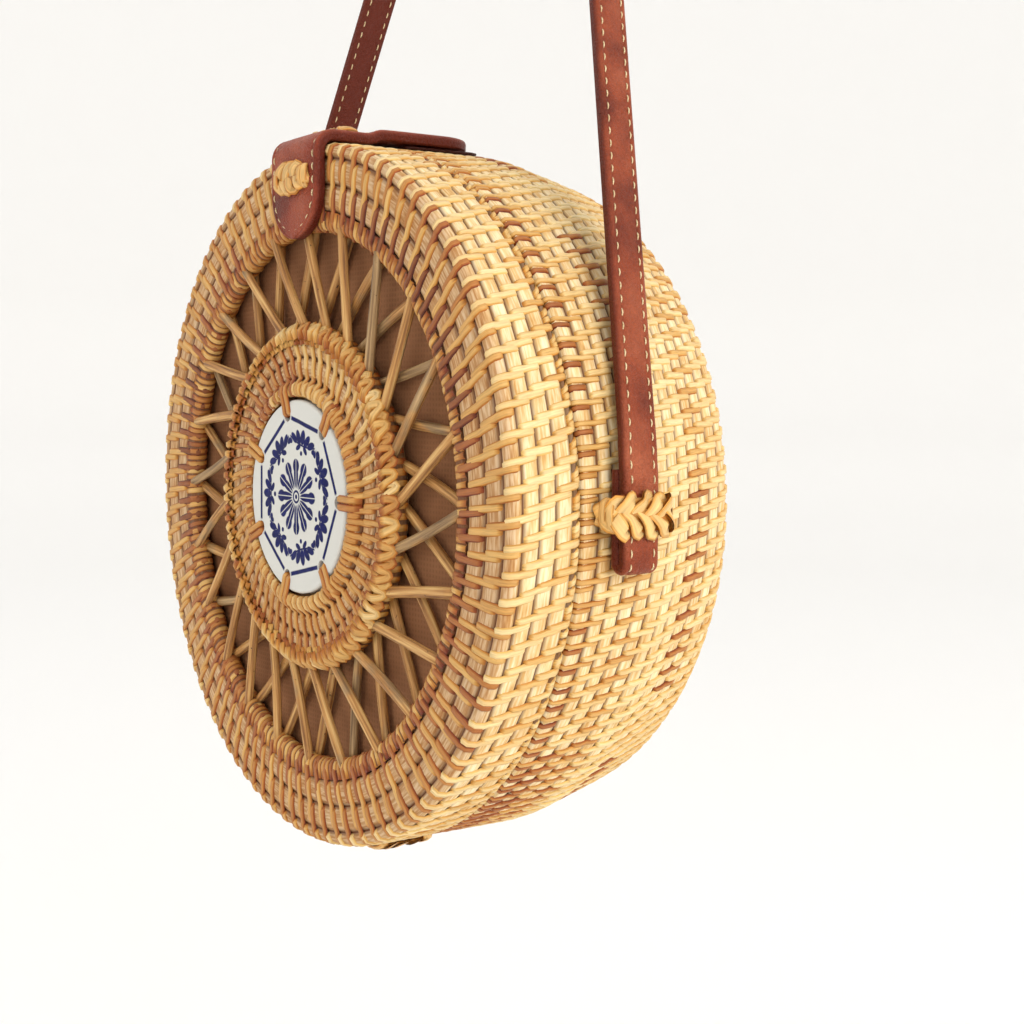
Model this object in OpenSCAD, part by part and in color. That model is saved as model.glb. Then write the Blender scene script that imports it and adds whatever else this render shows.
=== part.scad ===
// Round woven vine bag with a cane grille, a porcelain disc and leather straps.
// Millimetres. +X right, +Y to the back, +Z up. The lowest lashing touches z = 0.

/* [Body] */
// Diameter over the coils
body_diameter = 200; // [160:1:300]
// Depth from the face coils to the back coils
body_depth = 80; // [60:1:140]
// Depth of the front half, face to seam
front_depth = 21; // [18:0.5:28]
// Thickness of the woven wall
wall = 4.6; // [3:0.1:8]
// Thickness of the face ring round the grille
face_thickness = 6.2; // [5:0.1:10]
// Width of the face ring round the opening
face_ring_width = 25; // [18:0.5:40]
// Width of the bound edge round the opening
edge_width = 6; // [4:0.1:9]
// Gap between the bound edge and the first coil
edge_gap = 0.25; // [0.1:0.05:0.4]
// Depth of the groove between two coils
coil_groove = 1.1; // [0.5:0.1:1.6]
// Rounding of the front corner
front_corner = 3; // [2:0.1:4]
// Rounding of the back corner
back_corner = 10; // [9:0.1:14]
// Distance from the face at which the rear wall starts to narrow
narrow_start = 50; // [46:0.5:58]
// Fall of the rear wall's radius, from there to the back corner
rear_fall = 5.1; // [0:0.1:9]
// Flat round start of the coils in the middle of the back
back_start_radius = 9; // [5:0.5:15]
// Coils across the face between the bound edge and the corner
face_coils = 2; // [1:1:5]
// Coils along the wall of the front half
front_wall_coils = 3; // [2:1:6]
// Coils along the straight part of the rear wall
rear_wall_coils = 5; // [3:1:7]
// Coils along the narrowing part of the rear wall
narrow_coils = 5; // [3:1:7]
// Coils across the back
back_coils = 15; // [8:1:20]
// Running gap between the two halves
seam_gap = 0.3; // [0.2:0.05:1]

/* [Rims] */
// Width of the narrow bound rim of the front half
front_rim_width = 2; // [1.5:0.1:4]
// Width of the bound rim coil of the rear half
rear_rim_width = 6; // [4:0.1:9]

/* [Lining] */
// Thickness of the lining cloth
cloth = 0.8; // [0.5:0.1:1.5]
// Gap between the cloth and the weave
cloth_gap = 0.25; // [0.1:0.05:0.5]

/* [Grille] */
// Diameter of a cane
cane_diameter = 2.8; // [2:0.1:3.4]
// Canes in each layer
cane_count = 24; // [12:1:32]
// Turn of each cane between the face ring and the hub, in degrees
cane_lean = 14; // [5:1:25]
// Length of cane held in the face ring
cane_seat = 3; // [1.5:0.1:5]
// Gap between the two crossing layers
cane_gap = 0.2; // [0.1:0.05:0.5]

/* [Hub] */
// Radius of the woven hub without its looped edge
hub_radius = 46; // [40:0.5:55]
// Radius of the hole behind the disc
hub_hole_radius = 20; // [12:0.5:22]
// Height of the hub in front of the face coils
hub_proud = 1; // [0.5:0.1:2]
// Coils of the hub
hub_coils = 3; // [2:1:5]
// Radius of the looped edge bead
loop_radius = 2.2; // [1.6:0.1:2.8]

/* [Porcelain disc] */
// Radius of the disc
disc_radius = 27.9; // [24:0.1:34]
// Thickness of the disc
disc_thickness = 4; // [3:0.1:6]
// Depth of the disc's seat in the hub
disc_sink = 2.4; // [1:0.1:3.5]
// Rounding of the disc's rim
disc_round = 1; // [0.5:0.1:1.5]
// Lashings that hold the disc
disc_lashings = 7; // [3:1:9]
// Radius of the ring of holes
disc_hole_ring = 23.8; // [18:0.1:26]
// Diameter of one hole
disc_hole = 3.6; // [2.5:0.1:5]
// Angle of the first lashing from the top, clockwise, in degrees
disc_first_angle = -12; // [-25:1:25]
// Gap round the disc in its seat
disc_gap = 0.2; // [0.1:0.05:0.6]
// Width of a lashing strip
lashing_width = 4.4; // [3:0.1:5]
// Thickness of a lashing strip
lashing_thickness = 0.9; // [0.6:0.1:1.4]

/* [Closure] */
// Width of the closing strap
closure_width = 27; // [20:0.5:36]
// Thickness of the closing leather
closure_leather = 3.2; // [2:0.1:4]
// Distance of the tab's tip below the top of the bag
tab_length = 26.5; // [24:0.5:45]
// Distance of the fold line from the face
fold_station = 17.6; // [16.5:0.1:20]
// Rise of the leather towards the fold line
fold_rise = 1.2; // [0.8:0.1:2]
// Run of that rise
fold_run = 1.6; // [1:0.1:3]
// Gap at the fold line
fold_gap = 0.15; // [0.1:0.05:0.4]
// Distance of the flap's end from the face
flap_end = 53.8; // [48:0.5:60]
// Widest lift of the flap, in degrees
flap_lift = 105; // [60:5:110]
// Length of a closing knot, across the strap
closure_knot_length = 22; // [16:0.5:26]
// Width of a closing knot, along the strap
closure_knot_width = 10; // [7:0.5:12]
// Height of a closing knot above the leather
closure_knot_height = 2.4; // [1.5:0.1:4]
// Distance of the face knot below the top of the bag
face_knot_drop = 9.5; // [8:0.5:14]
// Distance of the top knot from the face
top_knot_station = 10.4; // [9:0.1:12]
// Width of the catch patch on the rear half
patch_width = 24; // [16:0.5:30]
// Thickness of the catch patch
patch_leather = 1; // [0.8:0.1:2]
// Length of the catch patch
patch_length = 25; // [20:0.5:32]
// Diameter of the snap's plates
snap_diameter = 14; // [10:0.5:18]
// Diameter of the snap's stud
snap_stud_diameter = 8; // [5:0.1:10]
// Height of the stud above the patch
snap_stud_height = 1.3; // [0.8:0.1:2]
// Thickness of the snap's plates
snap_plate = 0.8; // [0.6:0.1:1]

/* [Shoulder strap] */
// Width of the strap
strap_width = 11; // [8:0.5:16]
// Thickness of the strap
strap_thickness = 3.2; // [2:0.1:5]
// Height of the strap's top above the middle of the bag
strap_height = 313; // [220:1:700]
// Radius of the turn at the top, to the strap's middle
strap_turn = 14; // [8:0.5:60]
// Lean of the strap towards the back, in degrees
strap_tilt = 10; // [0:1:15]
// Distance of the strap's middle from the face
strap_station = 35; // [34:0.5:40]
// Reach of the folded end below the knot's middle
strap_fold_drop = 15; // [12:0.5:25]
// Height of the strap's turned-up tail above the knot's middle
strap_tail_rise = 11; // [9:0.5:25]
// Length of a side knot, across the strap
side_knot_length = 25; // [21:0.5:30]
// Width of a side knot, along the strap
side_knot_width = 12.4; // [9:0.1:16]
// Height of a side knot above the leather
side_knot_height = 2.6; // [2:0.1:4]
// Length of each foot of a side knot
side_knot_foot = 3; // [2:0.1:4]
// Gap between the strap and what it moves against
strap_gap = 0.3; // [0.2:0.05:0.8]

/* [Hinge] */
// Distance of each hinge lashing from the middle
hinge_spread = 18; // [12:0.5:30]
// Width of a hinge lashing
hinge_width = 12; // [8:0.5:18]
// Reach of a hinge lashing each side of the seam
hinge_reach = 9.5; // [7:0.1:14]
// Height of a hinge lashing under the coils
hinge_height = 3.2; // [2.4:0.1:5]
// Drop of the hinge line under the coils
hinge_drop = 1.2; // [0.8:0.1:2]
// Widest opening of the front half, in degrees
lid_open = 100; // [60:5:110]

/* [View] */
// Part to show

/* [Hidden] */
$fn = 72;

seat = 0.05;
overrun = 1;

body_radius = body_diameter / 2;
inner_radius = body_radius - wall;
opening_radius = body_radius - face_ring_width;
knot_front = closure_leather + 2 * seat + closure_knot_height;
strap_reach = (strap_height - strap_tail_rise - strap_gap + strap_thickness / 2);
strap_back = strap_station + strap_reach * sin(strap_tilt) + strap_width / 2 * cos(strap_tilt);
face_y = (knot_front - max(body_depth, strap_back)) / 2;
centre_z = body_radius + hinge_height;
seam_y = face_y + front_depth;
hinge_z = centre_z - body_radius - hinge_drop;

corner_run = front_corner + coil_groove;
face_start = opening_radius + edge_width + edge_gap;
face_pitch = (body_radius - corner_run - face_start) / face_coils;
front_pitch = (front_depth - front_rim_width - corner_run) / front_wall_coils;
rear_start = front_depth + seam_gap;
rear_pitch = (narrow_start - rear_start - rear_rim_width) / rear_wall_coils;
arc_radius = body_radius - rear_fall - back_corner;
arc_depth = body_depth - back_corner;
narrow_reach = [body_radius - arc_radius, arc_depth - narrow_start];
narrow_turn = asin(back_corner / norm(narrow_reach));
narrow_lean = atan2(narrow_reach[0], narrow_reach[1]) - narrow_turn;
narrow_pitch = norm(narrow_reach) * cos(narrow_turn) / narrow_coils;
back_pitch = (arc_radius - back_start_radius) / back_coils;
arc_coils = 3;
arc_step = (90 - narrow_lean) / arc_coils;
arc_run = 2 * back_corner * tan(arc_step / 2);
arc_reach = (back_corner - coil_groove) * cos(arc_step / 2)
            + (arc_run / 2 - coil_groove) * sin(arc_step / 2) + coil_groove;
arc_sink = (arc_reach - back_corner) / cos(arc_step / 2);

cane_radius = cane_diameter / 2;
cane_front_depth = cane_radius + cane_gap / 2;
cane_rear_depth = cane_front_depth + cane_diameter + cane_gap;
hub_seat_radius = disc_radius + disc_gap;
hub_pitch = (hub_radius - hub_seat_radius) / hub_coils;
loop_ring = hub_radius + loop_radius / 2;

flap_bottom = body_radius + seat + fold_rise;
flap_top = flap_bottom + closure_leather;
tab_middle = body_radius - tab_length + closure_width / 2;
patch_middle = flap_end - closure_width / 2;
strap_inner = body_radius + strap_gap;
strap_outer = strap_inner + 2 * strap_thickness;
strap_line = strap_outer - strap_thickness / 2;
bend_rise = strap_tail_rise + strap_gap;
strap_turn_z = strap_height - bend_rise - strap_turn;
strap_lean = atan2(strap_line, strap_turn_z)
             - asin(strap_turn / norm([strap_line, strap_turn_z]));
tunnel = side_knot_length - 2 * side_knot_foot;

// Turns a section, radius across and depth from the face up, round the bag's axis
module turned() {
  translate([0, face_y, centre_z])
    rotate([-90, 0, 0])
      rotate_extrude($fn = 120)
        children();
}

// Moves to the bag's middle line, face at y = 0 and centre at z = 0
module on_bag() {
  translate([0, face_y, centre_z])
    children();
}

// The round outside of the coils, a hair larger, for seating pieces on the wall
module wall_round() {
  translate([0, front_corner, 0])
    rotate([-90, 0, 0])
      cylinder(r = body_radius + seat, h = body_depth, $fn = 360);
}

// Section of one coil: flat top at x = 0, run up the section
module coil(run) {
  translate([-2 * coil_groove, 0])
    square([coil_groove, run]);
  translate([-2 * coil_groove, coil_groove])
    square([2 * coil_groove, run - 2 * coil_groove]);
  for (end = [coil_groove, run - coil_groove])
    translate([-coil_groove, end])
      circle(r = coil_groove, $fn = 24);
}

// A row of coils on the face, tops to the front, from the start radius outwards
module face_row(start, run, count) {
  for (index = [0 : count - 1])
    translate([start + index * run, 0])
      rotate(-90)
        coil(run);
}

// A row of coils on the back, tops to the back, from the start radius outwards
module back_row(start, run, count) {
  for (index = [1 : count])
    translate([start + index * run, body_depth])
      rotate(90)
        coil(run);
}

// A row of coils up the wall, tops outwards
module wall_row(start, run, count) {
  for (index = [0 : count - 1])
    translate([body_radius, start + index * run])
      coil(run);
}

// Stadium outline, long side along x
module stadium(length, width) {
  square([length - width, width], center = true);
  for (side = [-1, 1])
    translate([side * (length - width) / 2, 0])
      circle(d = width, $fn = 36);
}

// A lashed knot lying on its seat, crossed by three rounded strands
module knot(length, width, height) {
  strand = height / 2;
  linear_extrude(height - strand / 2)
    stadium(length, width);
  for (row = [-1, 0, 1])
    translate([0, row * (width / 2 - strand), height - strand])
      rotate([0, 90, 0])
        cylinder(r = strand, h = length - width, center = true, $fn = 24);
}

// Front half: the woven ring of the face and its short wall
module front_shell() {
  color("#e3bd83")
    turned() {
      translate([face_start, coil_groove])
        square([body_radius - front_corner - face_start, face_thickness - coil_groove]);
      face_row(face_start, face_pitch, face_coils);
      translate([body_radius - corner_run, 0])
        square([corner_run - front_corner, face_thickness]);
      translate([body_radius - front_corner, front_corner])
        circle(r = front_corner, $fn = 48);
      translate([inner_radius, front_corner])
        square([wall, coil_groove]);
      translate([inner_radius, front_corner])
        square([wall - coil_groove, front_depth - front_rim_width - front_corner]);
      wall_row(corner_run, front_pitch, front_wall_coils);
    }
}

// Narrow bound rim of the front half
module front_rim() {
  color("#c98f4c")
    turned()
      translate([inner_radius, front_depth - front_rim_width]) {
        square([wall - coil_groove, front_rim_width]);
        translate([wall - front_rim_width / 2, front_rim_width / 2])
          circle(d = front_rim_width, $fn = 36);
      }
}

// Bound edge round the opening of the face
module opening_edge() {
  bead = face_thickness / 2;
  color("#c98f4c")
    turned() {
      translate([opening_radius + bead, 0])
        square([edge_width - bead, face_thickness]);
      translate([opening_radius + bead, bead])
        circle(r = bead, $fn = 48);
    }
}

// Lining cloth of the front half, behind the grille and round the wall
module front_lining() {
  cloth_radius = inner_radius - cloth_gap;
  level = face_thickness + cloth_gap;
  color("#6b4a35")
    turned() {
      translate([0, level])
        square([cloth_radius, cloth]);
      translate([cloth_radius - cloth, level])
        square([cloth, front_depth - front_rim_width - level]);
    }
}

// One layer of canes, from inside the face ring to inside the hub's edge
module cane_layer(depth, lean) {
  far = opening_radius + cane_seat;
  near = hub_radius + loop_radius / 2;
  for (index = [0 : cane_count - 1]) {
    start = index * 360 / cane_count;
    from = [far * sin(start), far * cos(start)];
    to = [near * sin(start + lean), near * cos(start + lean)];
    run = to - from;
    on_bag()
      translate([from[0], depth, from[1]])
        rotate([0, atan2(run[0], run[1]), 0])
          cylinder(r = cane_radius, h = norm(run), $fn = 16);
  }
}

module canes_front() {
  color("#caa268")
    cane_layer(cane_front_depth, cane_lean);
}

module canes_rear() {
  color("#b98f55")
    cane_layer(cane_rear_depth, -cane_lean);
}

// Woven hub with a seat for the disc
module hub_ring() {
  seat_level = disc_sink - hub_proud;
  color("#cf9a55")
    turned() {
      difference() {
        union() {
          translate([hub_hole_radius, coil_groove - hub_proud])
            square([hub_radius - hub_hole_radius, face_thickness - coil_groove + hub_proud]);
          translate([0, -hub_proud])
            face_row(hub_seat_radius, hub_pitch, hub_coils);
        }
        translate([0, seat_level - 2 * disc_thickness])
          square([hub_seat_radius, 2 * disc_thickness]);
      }
    }
}

// Looped bead round the hub, where the canes end
module hub_edge() {
  color("#d9a765")
    turned()
      difference() {
        translate([loop_ring, face_thickness / 2])
          scale_bead();
        translate([0, -overrun])
          square([hub_radius, face_thickness + 2 * overrun]);
      }
}

// Section of the looped bead: a round top and bottom joined by a straight side
module scale_bead() {
  reach = face_thickness / 2 - loop_radius;
  square([2 * loop_radius, 2 * reach], center = true);
  for (side = [-1, 1])
    translate([0, side * reach])
      circle(r = loop_radius, $fn = 36);
}

// Places something at each lashing of the disc: x outwards, z to the front
module at_lashings() {
  for (index = [0 : disc_lashings - 1])
    on_bag()
      rotate([0, disc_first_angle + index * 360 / disc_lashings, 0])
        rotate([0, -90, 0])
          rotate([90, 0, 0])
            children();
}

// White glazed disc with one hole for each lashing
module porcelain_disc() {
  front = disc_sink - hub_proud - seat - disc_thickness;
  color("#e8e8e4")
    difference() {
      turned()
        translate([0, front]) {
          square([disc_radius - disc_round, disc_thickness]);
          translate([0, disc_round])
            square([disc_radius, disc_thickness - 2 * disc_round]);
          for (level = [disc_round, disc_thickness - disc_round])
            translate([disc_radius - disc_round, level])
              circle(r = disc_round, $fn = 24);
        }
      at_lashings()
        translate([disc_hole_ring, 0, -2 * disc_thickness])
          cylinder(d = disc_hole, h = 4 * disc_thickness, $fn = 24);
    }
}

// Vine lashings: down the hole, across the rim, into the hub
module disc_lashings() {
  top = disc_thickness + seat + hub_proud - disc_sink + seat;
  floor_level = hub_proud - disc_sink;
  outer = hub_seat_radius + hub_pitch / 2;
  hole_clear = disc_hole / 2 - seat;
  color("#d3a05a")
    at_lashings() {
      translate([disc_hole_ring, 0, floor_level])
        cylinder(r = hole_clear, h = top - floor_level, $fn = 24);
      translate([disc_hole_ring - hole_clear, -lashing_width / 2, top])
        cube([outer - disc_hole_ring + hole_clear, lashing_width, lashing_thickness]);
      translate([hub_seat_radius + disc_gap, -lashing_width / 2, 0])
        cube([outer - hub_seat_radius - disc_gap, lashing_width, top + lashing_thickness]);
    }
}

// Closing strap: rounded tab on the face, over the corner, back to the fold line
module closure_strap() {
  front = -seat - closure_leather;
  color("#7a3a28")
    on_bag()
      difference() {
        union() {
          rotate([90, 0, 90])
            translate([0, 0, -closure_width / 2])
              linear_extrude(closure_width)
                closure_section();
          translate([0, front, tab_middle])
            rotate([-90, 0, 0])
              cylinder(d = closure_width, h = closure_leather);
        }
        wall_round();
      }
}

// Side view of the closing strap, y across and z up
module closure_section() {
  inner = front_corner + seat;
  corner_z = body_radius - front_corner;
  leather_top = body_radius + seat + closure_leather;
  translate([-seat - closure_leather, tab_middle])
    square([closure_leather, corner_z - tab_middle]);
  translate([front_corner, corner_z])
    intersection() {
      difference() {
        circle(r = inner + closure_leather, $fn = 60);
        circle(r = inner, $fn = 60);
      }
      translate([-2 * body_depth, 0])
        square([2 * body_depth, 2 * body_depth]);
    }
  translate([front_corner, body_radius + seat - overrun])
    square([fold_station - fold_run - front_corner, closure_leather + overrun]);
  polygon([[fold_station - fold_run, body_radius + seat - overrun],
           [fold_station, flap_bottom - overrun],
           [fold_station, flap_top],
           [fold_station - fold_run, leather_top]]);
}

// Free flap, from the fold line to its rounded end
module closure_flap() {
  start = fold_station + fold_gap;
  recess = snap_plate + snap_stud_height + seat;
  color("#8a4632")
    on_bag()
      difference() {
        union() {
          translate([-closure_width / 2, start, flap_bottom])
            cube([closure_width, patch_middle - start, closure_leather]);
          translate([0, patch_middle, flap_bottom])
            cylinder(d = closure_width, h = closure_leather);
        }
        translate([0, patch_middle, flap_bottom - overrun])
          cylinder(d = snap_diameter + 2 * seat, h = recess + overrun);
      }
}

module closure_knot_face() {
  color("#d9a24a")
    on_bag()
      translate([0, -closure_leather - 2 * seat, body_radius - face_knot_drop])
        rotate([90, 0, 0])
          knot(closure_knot_length, closure_knot_width, closure_knot_height);
}

module closure_knot_top() {
  color("#e0b05e")
    on_bag()
      translate([0, top_knot_station, body_radius + closure_leather + 2 * seat])
        knot(closure_knot_length, closure_knot_width, closure_knot_height);
}

// Snap socket let into the under side of the flap
module snap_socket() {
  depth = snap_plate + snap_stud_height - seat;
  color("#b9a06a")
    on_bag()
      translate([0, patch_middle, flap_bottom])
        difference() {
          cylinder(d = snap_diameter, h = depth);
          translate([0, 0, -overrun])
            cylinder(d = snap_stud_diameter + 2 * seat, h = snap_stud_height + overrun);
        }
}

// Snap stud on the catch patch
module snap_stud() {
  color("#c7ae76")
    on_bag()
      translate([0, patch_middle, body_radius + seat]) {
        translate([0, 0, patch_leather - snap_plate])
          cylinder(d = snap_diameter, h = snap_plate);
        cylinder(d = snap_stud_diameter, h = patch_leather + snap_stud_height);
      }
}

// Leather patch on the rear half, under the flap
module catch_patch() {
  start = patch_middle - patch_length / 2;
  color("#6d3324")
    on_bag()
      difference() {
        translate([-patch_width / 2, start, body_radius + seat - 2 * patch_leather])
          cube([patch_width, patch_length, 3 * patch_leather]);
        wall_round();
        translate([0, patch_middle, body_radius + seat + patch_leather - snap_plate])
          cylinder(d = snap_diameter + 2 * seat, h = snap_plate + overrun);
        translate([0, patch_middle, body_radius])
          cylinder(d = snap_stud_diameter + 2 * seat, h = patch_leather + overrun);
      }
}

// Where the rear wall bends inwards and where it meets the corner, some way inside its face
function wall_bend(inset) = [body_radius - inset, narrow_start - inset * tan(narrow_lean / 2)];
function wall_end(inset) = [arc_radius, arc_depth]
                           + (back_corner - inset) * [cos(narrow_lean), sin(narrow_lean)];

// Section of the rear wall, corner and back, between two distances inside its face
module rear_strip(start, outer, inner) {
  far = 2 * back_corner;
  polygon([[body_radius - outer, start], wall_bend(outer), wall_end(outer),
           wall_end(inner), wall_bend(inner), [body_radius - inner, start]]);
  translate([arc_radius, arc_depth])
    intersection() {
      difference() {
        circle(r = back_corner - outer, $fn = 72);
        circle(r = back_corner - inner, $fn = 72);
      }
      polygon([[0, 0], far * [cos(narrow_lean), sin(narrow_lean)], [far, far], [0, far]]);
    }
  translate([0, body_depth - inner])
    square([arc_radius, inner - outer]);
}

// Rear half: straight wall, narrowing wall, rounded corner and flat back, all in coils
module rear_shell() {
  start = rear_start + rear_rim_width;
  color("#e9c890")
    turned() {
      rear_strip(start, coil_groove, wall);
      for (index = [0 : arc_coils - 1])
        translate([arc_radius, arc_depth])
          rotate(narrow_lean + (index + 0.5) * arc_step)
            translate([back_corner - arc_sink, -arc_run / 2])
              coil(arc_run);
      wall_row(start, rear_pitch, rear_wall_coils);
      translate([body_radius, narrow_start])
        rotate(narrow_lean)
          for (index = [0 : narrow_coils - 1])
            translate([0, index * narrow_pitch])
              coil(narrow_pitch);
      back_row(back_start_radius, back_pitch, back_coils);
      translate([0, body_depth - 2 * coil_groove])
        square([back_start_radius - coil_groove, 2 * coil_groove]);
    }
}

// Wide bound rim coil of the rear half
module rear_rim() {
  color("#b5742f")
    turned()
      translate([body_radius, rear_start]) {
        translate([-wall, 0])
          square([wall - coil_groove, rear_rim_width]);
        coil(rear_rim_width);
      }
}

// Lining cloth of the rear half: a cup that follows the inside
module rear_lining() {
  outer = wall + cloth_gap;
  color("#6b4a35")
    turned()
      rear_strip(rear_start + rear_rim_width / 2, outer, outer + cloth);
}

// Side knot: a band over the strap with a foot on each side of it
module side_knot(side) {
  rise = strap_outer + strap_gap - body_radius;
  band_start = strap_outer + strap_gap;
  color("#dba74f")
    on_bag()
      difference() {
        union() {
          translate([side * band_start, strap_station, 0])
            rotate([0, side * 90, 0])
              rotate(90)
                knot(side_knot_length, side_knot_width, side_knot_height);
          for (foot = [-1, 1])
            translate([side * (body_radius - overrun + (rise + 2 * overrun) / 2),
                       strap_station + foot * (side_knot_length - side_knot_foot) / 2, 0])
              cube([rise + 2 * overrun, side_knot_foot, side_knot_width / 2],
                   center = true);
        }
        wall_round();
      }
}

module side_knot_right() {
  side_knot(1);
}

module side_knot_left() {
  side_knot(-1);
}

// Solid outline of the strap's loop at a distance from its middle line
module strap_outline(offset_out, foot_drop) {
  radius = strap_turn + offset_out;
  foot = [strap_line + offset_out * cos(strap_lean), offset_out * sin(strap_lean)];
  tangent = [radius * cos(strap_lean), strap_turn_z + radius * sin(strap_lean)];
  translate([0, strap_turn_z])
    circle(r = radius);
  polygon([[foot[0], foot[1] - foot_drop], foot, tangent, [-tangent[0], tangent[1]],
           [-foot[0], foot[1]], [-foot[0], foot[1] - foot_drop]]);
}

// Strap path seen from the front, middle of the bend at the sides at z = 0
module strap_side() {
  difference() {
    strap_outline(strap_thickness / 2, 0);
    strap_outline(-strap_thickness / 2, strap_thickness);
  }
  for (side = [-1, 1])
    translate([side * strap_line, 0]) {
      circle(d = strap_thickness, $fn = 36);
      translate([-strap_thickness / 2, -strap_thickness])
        square(strap_thickness);
    }
}

// Shoulder strap: both strands, the turn at the top and the folded ends
module shoulder_strap() {
  fold_radius = strap_thickness;
  color("#8a4733")
    on_bag()
      translate([0, strap_station, 0]) {
        translate([0, 0, bend_rise])
          rotate([-strap_tilt, 0, 0])
            rotate([90, 0, 0])
              linear_extrude(strap_width, center = true)
                strap_side();
        rotate([90, 0, 0])
          linear_extrude(strap_width, center = true)
            for (side = [0, 1])
              mirror([side, 0])
                translate([strap_inner, 0]) {
                  translate([0, fold_radius - strap_fold_drop])
                    square([2 * strap_thickness, strap_fold_drop - fold_radius]);
                  square([2 * strap_thickness, strap_tail_rise]);
                  translate([strap_thickness, 0])
                    square([strap_thickness, bend_rise]);
                  translate([strap_thickness, fold_radius - strap_fold_drop])
                    circle(r = fold_radius, $fn = 36);
                }
      }
}

// Side view of half a hinge lashing, hinge line at the origin, reach along +x
module hinge_section() {
  slope = lid_open / 2 + 3;
  drop = hinge_height - hinge_drop;
  chamfer = drop * tan(slope);
  corner = drop / 2;
  difference() {
    union() {
      translate([0, -drop])
        square([hinge_reach - corner, drop + 2 * hinge_height]);
      translate([0, corner - drop])
        square([hinge_reach, drop - corner + 2 * hinge_height]);
      translate([hinge_reach - corner, corner - drop])
        circle(r = corner, $fn = 24);
    }
    translate([0, -2 * drop])
      square([seam_gap / 2, 4 * drop + 4 * hinge_height]);
    polygon([[0, 0], [2 * chamfer, -2 * drop], [0, -2 * drop]]);
  }
}

// The pair of hinge lashings on one half: side -1 for the front, 1 for the rear
module hinge_pair(side) {
  middle = front_depth + seam_gap / 2;
  color("#cf9440")
    on_bag()
      difference() {
        for (end = [-1, 1])
          translate([end * hinge_spread - hinge_width / 2, middle,
                     hinge_z - centre_z])
            rotate([90, 0, 90])
              linear_extrude(hinge_width)
                mirror([side < 0 ? 1 : 0, 0])
                  hinge_section();
        wall_round();
      }
}

module hinge_lashings_front() {
  hinge_pair(-1);
}

module hinge_lashings_rear() {
  hinge_pair(1);
}

front_shell();
front_rim();
opening_edge();
front_lining();
canes_front();
canes_rear();
hub_ring();
hub_edge();
porcelain_disc();
disc_lashings();
closure_strap();
closure_knot_face();
closure_knot_top();
hinge_lashings_front();
closure_flap();
snap_socket();
rear_shell();
rear_rim();
rear_lining();
catch_patch();
snap_stud();
side_knot_right();
side_knot_left();
hinge_lashings_rear();
shoulder_strap();
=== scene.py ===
# Round woven vine bag: cane grille, glazed disc, leather closing and shoulder strap.
import math
import random

import bmesh
import bpy
from mathutils import Matrix, Vector, noise
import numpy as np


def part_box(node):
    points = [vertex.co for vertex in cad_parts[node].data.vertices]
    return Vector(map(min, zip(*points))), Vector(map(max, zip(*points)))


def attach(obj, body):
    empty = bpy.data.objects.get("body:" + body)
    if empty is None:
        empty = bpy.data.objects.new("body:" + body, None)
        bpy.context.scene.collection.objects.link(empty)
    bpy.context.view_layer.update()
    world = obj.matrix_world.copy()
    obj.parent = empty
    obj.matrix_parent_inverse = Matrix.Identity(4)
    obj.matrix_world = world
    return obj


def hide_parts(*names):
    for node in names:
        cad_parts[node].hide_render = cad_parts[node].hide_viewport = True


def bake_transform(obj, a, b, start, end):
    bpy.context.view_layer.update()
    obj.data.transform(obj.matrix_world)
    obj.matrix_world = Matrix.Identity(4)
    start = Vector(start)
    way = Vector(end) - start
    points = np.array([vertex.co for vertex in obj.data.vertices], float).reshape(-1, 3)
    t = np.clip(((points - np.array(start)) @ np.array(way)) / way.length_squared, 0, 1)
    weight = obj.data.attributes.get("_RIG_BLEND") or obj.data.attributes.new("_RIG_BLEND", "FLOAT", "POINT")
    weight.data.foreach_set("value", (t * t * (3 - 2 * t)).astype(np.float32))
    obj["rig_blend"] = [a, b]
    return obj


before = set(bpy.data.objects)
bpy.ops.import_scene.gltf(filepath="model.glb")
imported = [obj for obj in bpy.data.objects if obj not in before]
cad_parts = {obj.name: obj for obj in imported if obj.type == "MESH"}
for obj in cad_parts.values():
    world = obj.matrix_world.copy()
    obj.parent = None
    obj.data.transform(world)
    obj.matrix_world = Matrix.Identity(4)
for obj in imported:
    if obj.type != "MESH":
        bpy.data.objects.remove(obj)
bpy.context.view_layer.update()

# Camera
# Fitted to the bag's outline, seam, opening, disc and hub in the photograph. The three
# directions are the picture's right, its up, and the way back from the bag to the camera.
camera = bpy.data.objects.new("camera", bpy.data.cameras.new("camera"))
bpy.context.scene.collection.objects.link(camera)
bpy.context.scene.camera = camera
camera.data.sensor_width = 36
camera.data.lens = 54.35
camera.data.shift_x = 0.0896
camera.data.shift_y = -0.0198
camera.matrix_world = Matrix((
    (0.54799, -0.05075, 0.83494, 0.390419),
    (0.83648, 0.03424, -0.54692, -0.259432),
    (-0.00084, 0.99812, 0.06122, 0.131825),
    (0, 0, 0, 1),
))

# Floor and light
# A white dish whose rim is far off and turned up, so that no horizon shows. The bag hangs
# over it, high enough for the opened front half. A large soft light stands on the right, as
# in the photograph, with a weaker fill in front.
FLOOR_Z = -0.15
# The dish's section, as (distance from its middle, rise) in metres.
DISH = ((0, 0), (2.2, 0), (2.5, 0.05), (2.75, 0.2), (2.9, 0.5), (3, 3))


def linear(code):
    """An sRGB hex colour as linear red, green, blue and alpha."""
    parts = [int(code[i : i + 2], 16) / 255 for i in (1, 3, 5)]
    return [p / 12.92 if p <= 0.04045 else ((p + 0.055) / 1.055) ** 2.4 for p in parts] + [1]


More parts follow.
